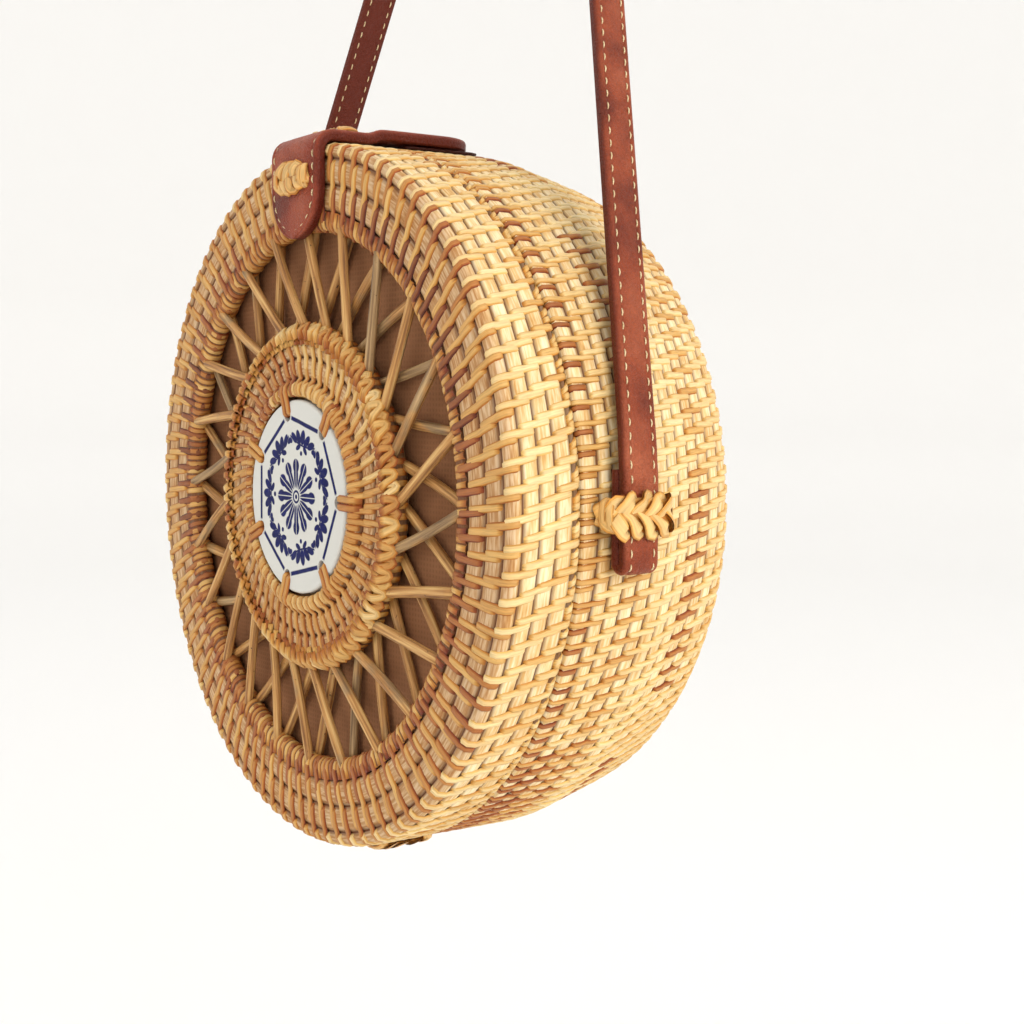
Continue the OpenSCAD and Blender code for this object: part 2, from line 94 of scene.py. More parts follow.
def add(tree, kind, inputs=None, stops=(), **settings):
    """Adds a shader node, with its settings, its colour stops and its inputs linked or set."""
    made = tree.nodes.new(kind)
    for name, value in settings.items():
        setattr(made, name, value)
    for name, value in (inputs or {}).items():
        if isinstance(value, bpy.types.NodeSocket):
            tree.links.new(value, made.inputs[name])
        else:
            made.inputs[name].default_value = value
    if stops:
        elements = made.color_ramp.elements
        while len(elements) < len(stops):
            elements.new(0.5)
        for element, (position, code) in zip(elements, stops):
            element.position, element.color = position, linear(code)
    return made


def new_material(name, **inputs):
    """A material with its principled shader, whose constant sockets are set here."""
    made = bpy.data.materials.new(name)
    made.use_nodes = True
    shader = made.node_tree.nodes["Principled BSDF"]
    for socket, value in inputs.items():
        shader.inputs[socket.replace("_", " ")].default_value = value
    return made, made.node_tree, shader


def finish_piece(name, bm, material, body=None, replaced=()):
    """Turns a bmesh into a named piece that rides on its body."""
    mesh = bpy.data.meshes.new(name)
    for face in bm.faces:
        face.smooth = True
    bm.to_mesh(mesh)
    bm.free()
    mesh.materials.append(material)
    piece = bpy.data.objects.new(name, mesh)
    bpy.context.scene.collection.objects.link(piece)
    if body:
        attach(piece, body)
    if replaced:
        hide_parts(*replaced)
    return piece


def spin_profile(bm, verts, centre, axis, steps, closed=False):
    """Spins a profile of points once round an axis, with its faces turned outwards. closed
    joins its last point to its first."""
    ends = verts[1:] + verts[:1] if closed else verts[1:]
    edges = [bm.edges.new(pair) for pair in zip(verts, ends)]
    bmesh.ops.spin(
        bm, geom=verts + edges, cent=centre, axis=axis, angle=math.tau, steps=steps, use_merge=True
    )
    bmesh.ops.remove_doubles(bm, verts=bm.verts, dist=1e-6)
    bmesh.ops.recalc_face_normals(bm, faces=bm.faces)


bm = bmesh.new()
dish = [bm.verts.new((reach, 0, FLOOR_Z + rise)) for reach, rise in DISH]
spin_profile(bm, dish, (0, 0, 0), (0, 0, 1), 96)
paper, tree, shader = new_material("paper_floor", Roughness=0.9)
shader.inputs["Base Color"].default_value = linear("#fcfbf9")
finish_piece("floor", bm, paper)

AIM = Vector((0, 0, 0.12))
for name, place, size, watts, tint in (
    ("key", (1.25, 0, 0.5), 0.8, 9.4, "#fff9f2"),
    ("front_fill", (-0.2, -1.5, 0.8), 1.3, 3.4, "#ffffff"),
):
    light = bpy.data.objects.new(name, bpy.data.lights.new(name, "AREA"))
    bpy.context.scene.collection.objects.link(light)
    light.data.size = size
    light.data.energy = watts
    light.data.color = linear(tint)[:3]
    light.location = place
    light.rotation_euler = (light.location - AIM).to_track_quat("Z", "Y").to_euler()
# Colours are shown as they are, without a film curve.
bpy.context.scene.view_settings.view_transform = "Standard"
world = bpy.data.worlds.new("studio")
bpy.context.scene.world = world
world.use_nodes = True
world.node_tree.nodes["Background"].inputs["Color"].default_value = linear("#ffffff")
world.node_tree.nodes["Background"].inputs["Strength"].default_value = 1.0

# Weave of the front half
# Flat vine cores run round the bag, and thinner strips bind each core to the next. Each strip
# crosses two cores and dives between them, and a row starts a third of a step beside the last.
rim_low, rim_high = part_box("rear_rim")
AXIS_Z = (rim_low.z + rim_high.z) / 2
FACE_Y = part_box("front_shell")[0].y
rng = random.Random(7)


def bag(radius, turn, depth):
    """A point by its radius from the bag's axis and its depth behind the face, in mm, and
    its turn in degrees clockwise from the top."""
    angle = math.radians(turn)
    return Vector(
        (radius * math.sin(angle) / 1000, FACE_Y + depth / 1000, AXIS_Z + radius * math.cos(angle) / 1000)
    )


def arc(centre, radius, first, last, count=8):
    """Points of an arc in a (radius, depth) section, angles from +radius towards +depth."""
    angles = [math.radians(first + (last - first) * i / count) for i in range(count + 1)]
    return [(centre[0] + radius * math.cos(a), centre[1] + radius * math.sin(a)) for a in angles]


def follow(coils):
    """The section's surface by place: whole numbers are grooves, halves the tops of coils.
    It gives radius, depth and the outward direction there."""

    def at(place):
        index = min(max(int(place), 0), len(coils) - 1)
        points = coils[index]
        runs = [math.dist(a, b) for a, b in zip(points, points[1:])]
        left = min(max(place - index, 0), 1) * sum(runs)
        k = 0
        while k < len(runs) - 1 and left > runs[k]:
            left -= runs[k]
            k += 1
        a, b = points[k], points[k + 1]
        along = ((b[0] - a[0]) / runs[k], (b[1] - a[1]) / runs[k])
        return a[0] + left * along[0], a[1] + left * along[1], along[1], -along[0]

    return at


# The top of a core between two grooves, as (share of its width, height in mm).
CORE_TOP = ((0, -1.15), (0.07, -0.8), (0.18, -0.42), (0.5, -0.28), (0.82, -0.42), (0.93, -0.8))
# A core gets a painted shade in its grooves: it darkens from this far under the surface, over
# this height, and its inside counts as this low, in mm.
SHADE_FROM, SHADE_OVER, INSIDE_LOW = 0.5, 0.6, -0.6
SPIN_STEPS = 180


def core_section(at, count, inside):
    """Closed section of a row of cores: low in the grooves, flat on top, then the inside."""
    points = []
    for index in range(count):
        for share, height in CORE_TOP:
            r, d, out_r, out_d = at(index + share)
            points.append((r + out_r * height, d + out_d * height, height))
    return points + [(r, d, INSIDE_LOW) for r, d in inside]


def turn_section(bm, section):
    """Spins a closed section once round the bag's axis. The third number of a point is its
    height, kept as how deep it lies in a groove, for the painted groove shade."""
    groove_shade = bm.verts.layers.float.new("groove_shade")
    verts = []
    for r, d, height in section:
        verts.append(bm.verts.new(bag(r, 0, d)))
        verts[-1][groove_shade] = min(max((-height - SHADE_FROM) / SHADE_OVER, 0), 1)
    spin_profile(bm, verts, bag(0, 0, 0), (0, 1, 0), SPIN_STEPS, closed=True)


def new_strips():
    """A bmesh that carries what a strip's material reads: its shade, its own number and UVs."""
    bm = bmesh.new()
    bm.verts.layers.float.new("tone")
    bm.verts.layers.float.new("seed")
    bm.loops.layers.uv.new("UVMap")
    return bm


# The four lengthwise lines of a strip, as shares of its width. The outer two lie lower.
STRIP_LINES = (-0.5, -0.27, 0.27, 0.5)


def lay_strip(bm, rows, width, tone, edge=0.6):
    """One thin rounded strip. rows gives, along it, the middle point, the direction across
    and the outward direction; width and the fall of its edges are in mm."""
    last = len(rows) - 1
    seed = rng.random()
    tones, seeds = bm.verts.layers.float["tone"], bm.verts.layers.float["seed"]
    for vert in bmesh.ops.create_grid(bm, x_segments=last, y_segments=3, size=1, calc_uvs=True)["verts"]:
        middle, across, out = rows[round((vert.co.x + 1) / 2 * last)]
        side = round((vert.co.y + 1) * 1.5)
        vert.co = middle + across * (STRIP_LINES[side] * width / 1000)
        if side in (0, 3):
            vert.co -= out * (edge / 1000)
        vert[tones] = tone
        vert[seeds] = seed


def wrap_rows(at, start, profile, turn, slant, lift=0.0):
    """Rows of a strip that crosses the cores of a section, at a turn that drifts by slant."""
    rows = []
    for share, height in profile:
        r, d, out_r, out_d = at(start + share)
        r, d = r + out_r * (height + lift), d + out_d * (height + lift)
        here = turn + slant * (share / profile[-1][0] - 0.5)
        angle = math.radians(here)
        across = Vector((math.cos(angle), 0, -math.sin(angle)))
        out = Vector((out_r * math.sin(angle), out_d, out_r * math.cos(angle)))
        rows.append((bag(r, here, d), across, out))
    return rows


# The way of a strip over two cores and over one, as (cores from its start, height in mm).
TWO_CORES = (
    (0.03, -1.15), (0.1, -0.4), (0.24, 0.1), (0.5, 0.26), (0.82, 0.16), (1, 0),
    (1.18, 0.16), (1.5, 0.26), (1.76, 0.1), (1.9, -0.4), (1.97, -1.15),
)
ONE_CORE = ((0.02, -1.15), (0.12, -0.4), (0.3, 0.05), (0.5, 0.15), (0.7, 0.05), (0.88, -0.4), (0.98, -1.15))


def shade_runs(count, light, mixed):
    """Shades along one row: runs of one vine after another, mostly near light."""
    shades = []
    while len(shades) < count:
        base = rng.choice(mixed) if rng.random() < 0.3 else light
        shades += [base + rng.uniform(-0.05, 0.05) for _ in range(rng.randint(4, 16))]
    return shades[:count]


def bind_row(bm, at, start, count, width, shades, profile=TWO_CORES, phase=0.0, slant=0.35, lift=0.0):
    """A row of strips round the bag that all start at one groove."""
    step = 360 / count
    for index in range(count):
        turn = (index + phase + rng.uniform(-0.05, 0.05)) * step
        drift = -slant * step * rng.uniform(0.7, 1.3) / 3
        rows = wrap_rows(at, start, profile, turn, drift, lift + rng.uniform(-0.05, 0.06))
        lay_strip(bm, rows, width * rng.uniform(0.88, 1.1), shades[index % len(shades)])


def own_place(tree):
    """A strip's or a cane's own place: along it, round it, and its own number."""
    uv = add(tree, "ShaderNodeSeparateXYZ", {"Vector": add(tree, "ShaderNodeUVMap").outputs["UV"]})
    seed = add(tree, "ShaderNodeAttribute", attribute_name="seed")
    return uv.outputs["X"], uv.outputs["Y"], seed.outputs["Fac"]


def drawn_grain(tree, place, scales, detail=3.0):
    """Noise over a place of three values, each with its own scale, so that the grain is
    drawn out one way."""
    parts = [
        add(tree, "ShaderNodeMath", {0: value, 1: scale}, operation="MULTIPLY").outputs[0]
        for value, scale in zip(place, scales)
    ]
    scaled = add(tree, "ShaderNodeCombineXYZ", {"X": parts[0], "Y": parts[1], "Z": parts[2]})
    inputs = {"Vector": scaled.outputs[0], "Scale": 1.0, "Detail": detail}
    return add(tree, "ShaderNodeTexNoise", inputs).outputs["Fac"]


def shaded(tree, colour, value, low, high, dark, light):
    """A colour times dark to light, as a value runs from low to high."""
    limits = {"Value": value, "From Min": low, "From Max": high, "To Min": dark, "To Max": light}
    inputs = {0: colour, "Scale": add(tree, "ShaderNodeMapRange", limits).outputs["Result"]}
    return add(tree, "ShaderNodeVectorMath", inputs, operation="SCALE").outputs[0]


def dress(tree, shader, colour, height, strength, depth):
    """Gives a material its colour, and a relief whose depth is in metres."""
    relief = {"Height": height, "Strength": strength, "Distance": depth}
    tree.links.new(colour, shader.inputs["Base Color"])
    tree.links.new(add(tree, "ShaderNodeBump", relief).outputs[0], shader.inputs["Normal"])


def vine_strip(name, stops, roughness=0.5, contrast=0.16, uv_scale=(3.0, 9.0), dive=2.0):
    """Bark-free split vine: its tone runs through the stops, with fibres along the strip, and
    a painted shade, a deeper colour, at its edges and where its ends dive."""
    made, tree, shader = new_material(name, Roughness=roughness, Specular_IOR_Level=0.35)
    tone = add(tree, "ShaderNodeAttribute", attribute_name="tone")
    plain = add(tree, "ShaderNodeValToRGB", {"Fac": tone.outputs["Fac"]}, stops)
    along, across, seed = own_place(tree)
    fibres = drawn_grain(tree, (along, across, seed), (*uv_scale, 57.0))
    tinted = shaded(tree, plain.outputs["Color"], fibres, 0.3, 0.7, 1 - contrast, 1 + contrast)
    # Painted shade: the colour deepens towards the strip's edges and where its ends dive under the cores.
    edge_shades = []
    for way, first, most in ((along, 0.62, dive), (across, 0.35, 2.1)):
        off = add(tree, "ShaderNodeMath", {0: way, 1: 2.0, 2: -1.0}, operation="MULTIPLY_ADD")
        off = add(tree, "ShaderNodeMath", {0: off.outputs[0]}, operation="ABSOLUTE")
        limits = {"Value": off.outputs[0], "From Min": first, "From Max": 1.0, "To Min": 1.0, "To Max": most}
        edge_shades.append(add(tree, "ShaderNodeMapRange", limits).outputs["Result"])
    most = add(tree, "ShaderNodeMath", {0: edge_shades[0], 1: edge_shades[1]}, operation="MAXIMUM")
    wear_streaks_and_shade = add(tree, "ShaderNodeGamma", {"Color": tinted, "Gamma": most.outputs[0]})
    dress(tree, shader, wear_streaks_and_shade.outputs["Color"], fibres, 0.6, 0.0003)
    return made


VINE_STOPS = (
    (0, "#ebd39d"), (0.25, "#d3a660"), (0.45, "#b87b39"),
    (0.62, "#9f5d2d"), (0.8, "#733d1b"), (1, "#3f200f"),
)
strip_vine = vine_strip("binding_vine", VINE_STOPS)

# Split vine cores, with their grain round the bag: 0.6 mm wide, and long along them. They
# are paler than the strips. Painted shade makes them browner on the face and the hub, and
# darkest in the grooves.
core_vine, tree, shader = new_material("core_vine", Roughness=0.65, Specular_IOR_Level=0.3)
place = add(tree, "ShaderNodeTexCoord").outputs["Object"]
split = add(tree, "ShaderNodeSeparateXYZ", {"Vector": place})
level = add(tree, "ShaderNodeMath", {0: split.outputs["Z"], 1: AXIS_Z}, operation="SUBTRACT")
around = add(tree, "ShaderNodeMath", {0: split.outputs["X"], 1: level.outputs[0]}, operation="ARCTAN2")
flat = add(tree, "ShaderNodeCombineXYZ", {"X": split.outputs["X"], "Y": level.outputs[0]})
away = add(tree, "ShaderNodeVectorMath", {0: flat.outputs[0]}, operation="LENGTH")
round_place = (away.outputs["Value"], split.outputs["Y"], around.outputs[0])
fine = drawn_grain(tree, round_place, (1700, 1700, 16))
broad = drawn_grain(tree, round_place, (190, 190, 9))
plain = add(tree, "ShaderNodeValToRGB", {"Fac": broad}, ((0.3, "#d9b680"), (0.62, "#f2dfb6")))
limits = {"Value": fine, "From Min": 0.34, "From Max": 0.6, "To Min": 1.75, "To Max": 0.92}
streak = add(tree, "ShaderNodeMapRange", limits)
# Painted shade: cores near the face, which gets less light than the wall, are mixed towards brown.
limits = {"From Min": FACE_Y + 0.001, "From Max": FACE_Y + 0.004, "To Min": 0.62, "To Max": 0.0}
face_shade = add(tree, "ShaderNodeMapRange", {"Value": split.outputs["Y"], **limits})
blend = {"Factor": face_shade.outputs["Result"], "A": plain.outputs["Color"], "B": linear("#b4845a")}
wear_and_face_shade = add(tree, "ShaderNodeMix", blend, data_type="RGBA")
wear_streaks_and_shade = {"Color": wear_and_face_shade.outputs["Result"], "Gamma": streak.outputs["Result"]}
tinted = add(tree, "ShaderNodeGamma", wear_streaks_and_shade)
# Painted shade: deep in the grooves the cores are mixed towards dark brown.
groove_shade = add(tree, "ShaderNodeAttribute", attribute_name="groove_shade")
blend = {"Factor": groove_shade.outputs["Fac"], "A": tinted.outputs[0], "B": linear("#5a2a0d")}
mixed = add(tree, "ShaderNodeMix", blend, data_type="RGBA")
dress(tree, shader, mixed.outputs["Result"], fine, 0.5, 0.0003)


def steps_between(a, b, count):
    """Points at equal steps from a to b, with both ends."""
    return [(a[0] + (b[0] - a[0]) * i / count, a[1] + (b[1] - a[1]) * i / count) for i in range(count + 1)]


def coils_between(a, b, count):
    """Equal coils side by side on a straight run of the section."""
    steps = steps_between(a, b, count)
    return list(zip(steps, steps[1:]))


# Radii and depths of the front half, in mm: the bound edge of the opening with its own
# radius, the grooves of the face's coils, the wall, and where the wall's coils lie.
EDGE_AT, EDGE_R = 78.1, 3.1
FACE_GROOVES = (81.2, 88.6, 95.9)
WALL_R, WALL_FROM, WALL_TO = 100.0, 4.1, 19.01
SHELL_IN, SHELL_BACK = 95.4, 19.2
front_coils = [
    [(EDGE_AT, 2 * EDGE_R), *arc((EDGE_AT, EDGE_R), EDGE_R, 90, 270, 10)[1:], (FACE_GROOVES[0], 0)],
    *coils_between((FACE_GROOVES[0], 0), (FACE_GROOVES[1], 0), 1),
    *coils_between((FACE_GROOVES[1], 0), (FACE_GROOVES[2], 0), 1),
    [(FACE_GROOVES[2], 0), *arc((WALL_R - 3, 3), 3, 270, 360), (WALL_R, WALL_FROM)],
    *coils_between((WALL_R, WALL_FROM), (WALL_R, WALL_TO), 3),
    [(WALL_R, 19), (WALL_R, 20), *arc((WALL_R - 1, 20), 1, 0, 90, 4)[1:], (WALL_R - 3, 21)],
]
front_at = follow(front_coils)
front_inside = [
    (98.9, SHELL_BACK), (SHELL_IN, SHELL_BACK), (SHELL_IN, 2 * EDGE_R), (FACE_GROOVES[0], 2 * EDGE_R),
]
bm = bmesh.new()
turn_section(bm, core_section(lambda place: front_at(place + 1), 6, front_inside))
finish_piece("front_cores", bm, core_vine, "front_half", ["front_shell"])

# Strips in a row, their width in mm, and for each row its main shade and the others in it.
FRONT_ROWS, FRONT_STRIP = 92, 2.25
FRONT_TONES = (
    (0.6, (0.72, 0.5, 0.38)), (0.3, (0.42, 0.26, 0.5)), (0.46, (0.56, 0.36, 0.3)), (0.1, (0.2, 0.3)),
    (0.05, (0.12, 0.25)), (0.08, (0.2, 0.3)), (0.14, (0.25, 0.35)),
)
bm = new_strips()
for start, (light, others) in enumerate(FRONT_TONES):
    shades = shade_runs(FRONT_ROWS, light, others)
    bind_row(bm, front_at, start, FRONT_ROWS, FRONT_STRIP, shades, phase=-start / 3, slant=0.75)
for phase, slant, light in ((0.34, 1.3, 0.08), (0.67, 0.6, 0.2)):
    shades = shade_runs(FRONT_ROWS, light, (0.2, 0.4))
    bind_row(
        bm, front_at, len(FRONT_TONES), FRONT_ROWS, FRONT_STRIP, shades, ONE_CORE, phase, slant, 0.1
    )
finish_piece("front_binding", bm, strip_vine, "front_half")

# Rims of the front half
# The edge of the opening and the narrow rim at the seam are wound closely with strips.
EDGE_WIND = tuple((i / 12, -0.25 + 0.08 * math.sin(i / 12 * math.pi)) for i in range(13))
EDGE_TURNS, EDGE_STRIP = 220, 1.95
EDGE_TONES = (0.24, 0.3, 0.37, 0.43, 0.5, 0.6)
edge_round = [*arc((EDGE_AT, EDGE_R), 2.55, 90, 270, 10), (80.9, 0.55), (80.9, 5.65)]
bm = bmesh.new()
turn_section(bm, [(r, d, -1) for r, d in edge_round])
finish_piece("edge_core", bm, core_vine, "front_half", ["opening_edge"])
bm = new_strips()
for index in range(EDGE_TURNS):
    turn = (index + rng.uniform(-0.1, 0.1)) * 360 / EDGE_TURNS
    rows = wrap_rows(front_at, 0, EDGE_WIND, turn, -0.6, rng.uniform(-0.08, 0.08))
    lay_strip(bm, rows, EDGE_STRIP * rng.uniform(0.9, 1.1), rng.choice(EDGE_TONES), 0.5)
finish_piece("edge_winding", bm, strip_vine, "front_half")

seam_rim = [
    (SHELL_IN, SHELL_BACK), (98.9, SHELL_BACK), (99.5, 19.6), (99.4, 20.3), (98.8, 20.7), (SHELL_IN, 20.9),
]
bm = bmesh.new()
turn_section(bm, [(r, d, -1) for r, d in seam_rim])
finish_piece("front_rim_core", bm, core_vine, "front_half", ["front_rim"])

# Weave of the rear half
# The same cores and strips, finer: a wound rim coil, a straight wall, a wall that narrows
# to a rounded corner, and a flat back whose rows thin out towards the middle.

# Radii and depths in mm: the wall is straight to the kink, and the corner is given by its
# middle.
RIM_FROM, RIM_TO = 21.45, 27.3
KINK = (WALL_R, 50.0)
REAR_CORNER, CORNER_RADIUS = (84.9, 70.0), 10.0
BACK_DEEP, BACK_END, SHELL_THICK = 80, 9, 4.6
reach = (KINK[0] - REAR_CORNER[0], REAR_CORNER[1] - KINK[1])
grip = math.asin(CORNER_RADIUS / math.hypot(*reach))
LEAN = math.atan2(*reach) - grip
narrow_run = math.hypot(*reach) * math.cos(grip)
narrow_end = (KINK[0] - math.sin(LEAN) * narrow_run, KINK[1] + math.cos(LEAN) * narrow_run)
corner_steps = [math.degrees(LEAN) + (90 - math.degrees(LEAN)) * i / 3 for i in range(4)]
rear_coils = [
    [(95.6, RIM_FROM), (98.9, RIM_FROM), *arc((98.9, 22.55), 1.1, 270, 360, 4)[1:], (WALL_R, RIM_TO)],
    *coils_between((WALL_R, RIM_TO), KINK, 5),
    *coils_between(KINK, narrow_end, 5),
    *(arc(REAR_CORNER, CORNER_RADIUS, a, b, 5) for a, b in zip(corner_steps, corner_steps[1:])),
    *coils_between((REAR_CORNER[0], BACK_DEEP), (BACK_END, BACK_DEEP), 15),
]
rear_at = follow(rear_coils)
rear_inside = [
    (BACK_END, 79), (8.4, 79.5), (5, 79.6), (0, 79.6), (0, BACK_DEEP - SHELL_THICK),
    *arc(REAR_CORNER, CORNER_RADIUS - SHELL_THICK, 90, math.degrees(LEAN), 4),
    (SHELL_IN, 49.5), (SHELL_IN, 21.5),
]
bm = bmesh.new()
turn_section(bm, core_section(rear_at, 29, rear_inside))
finish_piece("rear_cores", bm, core_vine, "rear_half", ["rear_shell", "rear_rim"])

# The way of a strip over the wide rim coil alone, and over it and the next coil.
RIM_ALONE = (
    (0.02, -0.3), (0.22, -0.1), (0.36, 0), (0.5, 0.12), (0.7, 0.14), (0.86, 0), (0.94, -0.4), (0.99, -1.1),
)
RIM_AND_CORE = (
    *RIM_ALONE[:5], (0.88, 0.08), (1, -0.1), (1.2, 0.08), (1.5, 0.16),
    (1.76, 0.02), (1.9, -0.45), (1.97, -1.15),
)
REAR_ROWS = 112
WALL_COILS, BACK_COILS = range(1, 14), range(14, 28)
bm = new_strips()
for width, light, others, profile, phase in (
    (1.7, 0.6, (0.7, 0.55, 0.35), RIM_ALONE, 0.36),
    (1.6, 0.22, (0.3, 0.45), RIM_AND_CORE, 0.0),
):
    bind_row(bm, rear_at, 0, REAR_ROWS, width, shade_runs(REAR_ROWS, light, others), profile, phase)
for start in WALL_COILS:
    shades = shade_runs(REAR_ROWS, rng.choice((0.04, 0.08, 0.12)), (0.1, 0.2, 0.3, 0.4, 0.52))
    bind_row(bm, rear_at, start, REAR_ROWS, 1.95, shades, phase=-start / 3, slant=0.6)
finish_piece("rear_binding", bm, strip_vine, "rear_half")

BACK_APART = 5.4
bm = new_strips()
for start in BACK_COILS:
    count = round(math.tau * rear_at(start + 1)[0] / BACK_APART)
    shades = shade_runs(count, rng.choice((0.08, 0.15, 0.22)), (0.12, 0.3, 0.36, 0.6))
    bind_row(bm, rear_at, start, count, 1.7, shades, phase=rng.random())
bind_row(bm, rear_at, BACK_COILS.stop, 9, 1.8, [0.2, 0.3, 0.15], ONE_CORE)
finish_piece("back_binding", bm, strip_vine, "rear_half")

# Canes of the grille
# Two crossing layers of thin peeled cane, pushed into the bound edge outside and under the
# hub's loops inside. They are tan, with long streaks, specks and weathered grey lengths.


def sweep(bm, rows, section, tone=0.0):
    """Carries a closed section along rows of (middle, across, outward). section gives the
    points of one row in mm, across and outward. The ends are closed."""
    last, count = len(rows) - 1, len(section(0))
    layers = [bm.verts.layers.float.get(name) for name in ("tone", "seed")]
    marks = (tone, rng.random())
    edge = bm.verts.layers.float.get("edge")
    high = max(up for _, up in section(0))
    verts = bmesh.ops.create_grid(bm, x_segments=last, y_segments=count, size=1, calc_uvs=True)["verts"]
    for vert in verts:
        row = round((vert.co.x + 1) / 2 * last)
        side, up = section(row)[round((vert.co.y + 1) / 2 * count) % count]
        middle, across, out = rows[row]
        vert.co = middle + across * (side / 1000) + out * (up / 1000)
        for layer, mark in zip(layers, marks):
            if layer:
                vert[layer] = mark
        if edge:
            vert[edge] = min(max((0.9 - up / high) / 0.6, 0), 1)
    bmesh.ops.remove_doubles(bm, verts=verts, dist=2e-6)
    open_edges = {e for v in verts if v.is_valid for e in v.link_edges if e.is_boundary}
    bmesh.ops.holes_fill(bm, edges=list(open_edges), sides=0)


def heading(points, i):
    """The direction of a path at one of its points."""
    return (points[min(i + 1, len(points) - 1)] - points[max(i - 1, 0)]).normalized()


def rows_along(points, across):
    """Rows along points, with the outward direction square to the path and to across."""
    rows = []
    for i, point in enumerate(points):
        forward = heading(points, i)
        out = across.cross(forward).normalized()
        rows.append((point, forward.cross(out).normalized(), out))
    return rows


def ring(width, height, count=10):
    """A round section, in mm."""
    turns = [math.tau * i / count for i in range(count)]
    return [(width * math.cos(a), height * math.sin(a)) for a in turns]


# A cane runs from the bound edge to the hub, by its ends' distances from the axis in mm.
CANE_OUT, CANE_IN, CANE_DEEP = 77.6, 47.4, 1.32


def cane(bm, turn, lean, depth):
    """One cane, slightly bowed, tapered and flattened."""
    first, last = bag(CANE_OUT, turn, depth), bag(CANE_IN, turn + lean, depth)
    side = (last - first).cross(Vector((0, 1, 0))).normalized()
    bow = rng.uniform(-0.7, 0.7)
    lift = rng.uniform(-0.15, 0.15)
    thick = rng.uniform(1.36, 1.62)
    taper = rng.uniform(-0.12, 0.12)
    points, sizes = [], []
    for i in range(9):
        share = i / 8
        swing = math.sin(math.pi * share)
        aside = side * (bow * swing / 1000)
        points.append(first.lerp(last, share) + aside + Vector((0, lift * swing / 1000, 0)))
        sizes.append(thick + taper * (share - 0.5) + rng.uniform(-0.05, 0.05))
    rows = rows_along(points, side)
    sweep(bm, rows, lambda row: ring(sizes[row], CANE_DEEP * sizes[row] / thick), rng.random())


# Peeled cane: streaks along it, golden or weathered grey by patches and from cane to cane.
grille_cane, tree, shader = new_material("peeled_cane", Roughness=0.5, Specular_IOR_Level=0.35)
on_cane = own_place(tree)
streaks = drawn_grain(tree, on_cane, (1.6, 11, 61))
golden, grey = (
    add(tree, "ShaderNodeValToRGB", {"Fac": streaks}, stops).outputs["Color"]
    for stops in (
        ((0.3, "#7a4f27"), (0.5, "#b9854a"), (0.7, "#dbb271")),
        ((0.3, "#6a4f33"), (0.55, "#a5845a"), (0.75, "#caa97a")),
    )
)
patches = drawn_grain(tree, on_cane, (2.2, 1.2, 83))
each = drawn_grain(tree, on_cane, (0.01, 0.01, 37), 0.0)
patchy = add(tree, "ShaderNodeMath", {0: patches, 1: each}, operation="ADD")
wear_and_face_shade = add(tree, "ShaderNodeMapRange", {"Value": patchy.outputs[0], "From Min": 1.06, "From Max": 1.16})
blend = {"Factor": wear_and_face_shade.outputs["Result"], "A": golden, "B": grey}
mixed = add(tree, "ShaderNodeMix", blend, data_type="RGBA")
spotty = drawn_grain(tree, on_cane, (26, 7, 19))
specks = add(tree, "ShaderNodeMapRange", {"Value": spotty, "From Min": 0.68, "From Max": 0.76})
blend = {"Factor": specks.outputs["Result"], "A": mixed.outputs["Result"], "B": linear("#3c2614")}
marked = add(tree, "ShaderNodeMix", blend, data_type="RGBA")
dress(tree, shader, marked.outputs["Result"], drawn_grain(tree, on_cane, (3, 26, 61)), 0.6, 0.0004)

CANES = 24
for name, lean, depth in (("canes_front", 14, 1.5), ("canes_rear", -14, 4.5)):
    bm = new_strips()
    for index in range(CANES):
        cane(bm, index * 360 / CANES + rng.uniform(-0.6, 0.6), lean + rng.uniform(-1.2, 1.2), depth)
    bmesh.ops.recalc_face_normals(bm, faces=bm.faces)
    finish_piece("grille_" + name, bm, grille_cane, "front_half", [name])

# Hub
# A small coiled ring in the middle of the grille. Close radial strips bind its coils with a
# swirl, and an outer row of loops like scales holds the ends of the canes.
HUB_R, HUB_BACK, DISC_SEAT = 46, 6.2, 1.45
hub_coils = [
    [(28.1, -1.1), (28.5, -2.3), (29.5, -2.95), (31, -3.05), (32.6, -2.5), (34.07, -1.3)],
    [(34.07, -1.3), (40.04, -1)],
    [(40.04, -1), (HUB_R, -1)],
]
hub_at = follow(hub_coils)
hub_inside = [(HUB_R, -0.2), (HUB_R, HUB_BACK), (20, HUB_BACK), (20, DISC_SEAT), (28.1, DISC_SEAT)]
bm = bmesh.new()
turn_section(bm, core_section(hub_at, 3, hub_inside))
finish_piece("hub_cores", bm, core_vine, "front_half", ["hub_ring"])
bead = [*arc((47.0, 1.7), 1.75, 180, 360, 8)[1:], (48.75, 4.3), (46.1, 4.3), (46.1, 1.7)]
bm = bmesh.new()
turn_section(bm, [(r, d, -1) for r, d in bead])
finish_piece("hub_bead", bm, core_vine, "front_half", ["hub_edge"])
bead_at = follow([[(45.2, -0.7), *arc((46.9, 1.6), 2.0, 270, 360, 6), (48.9, 4.2)]])

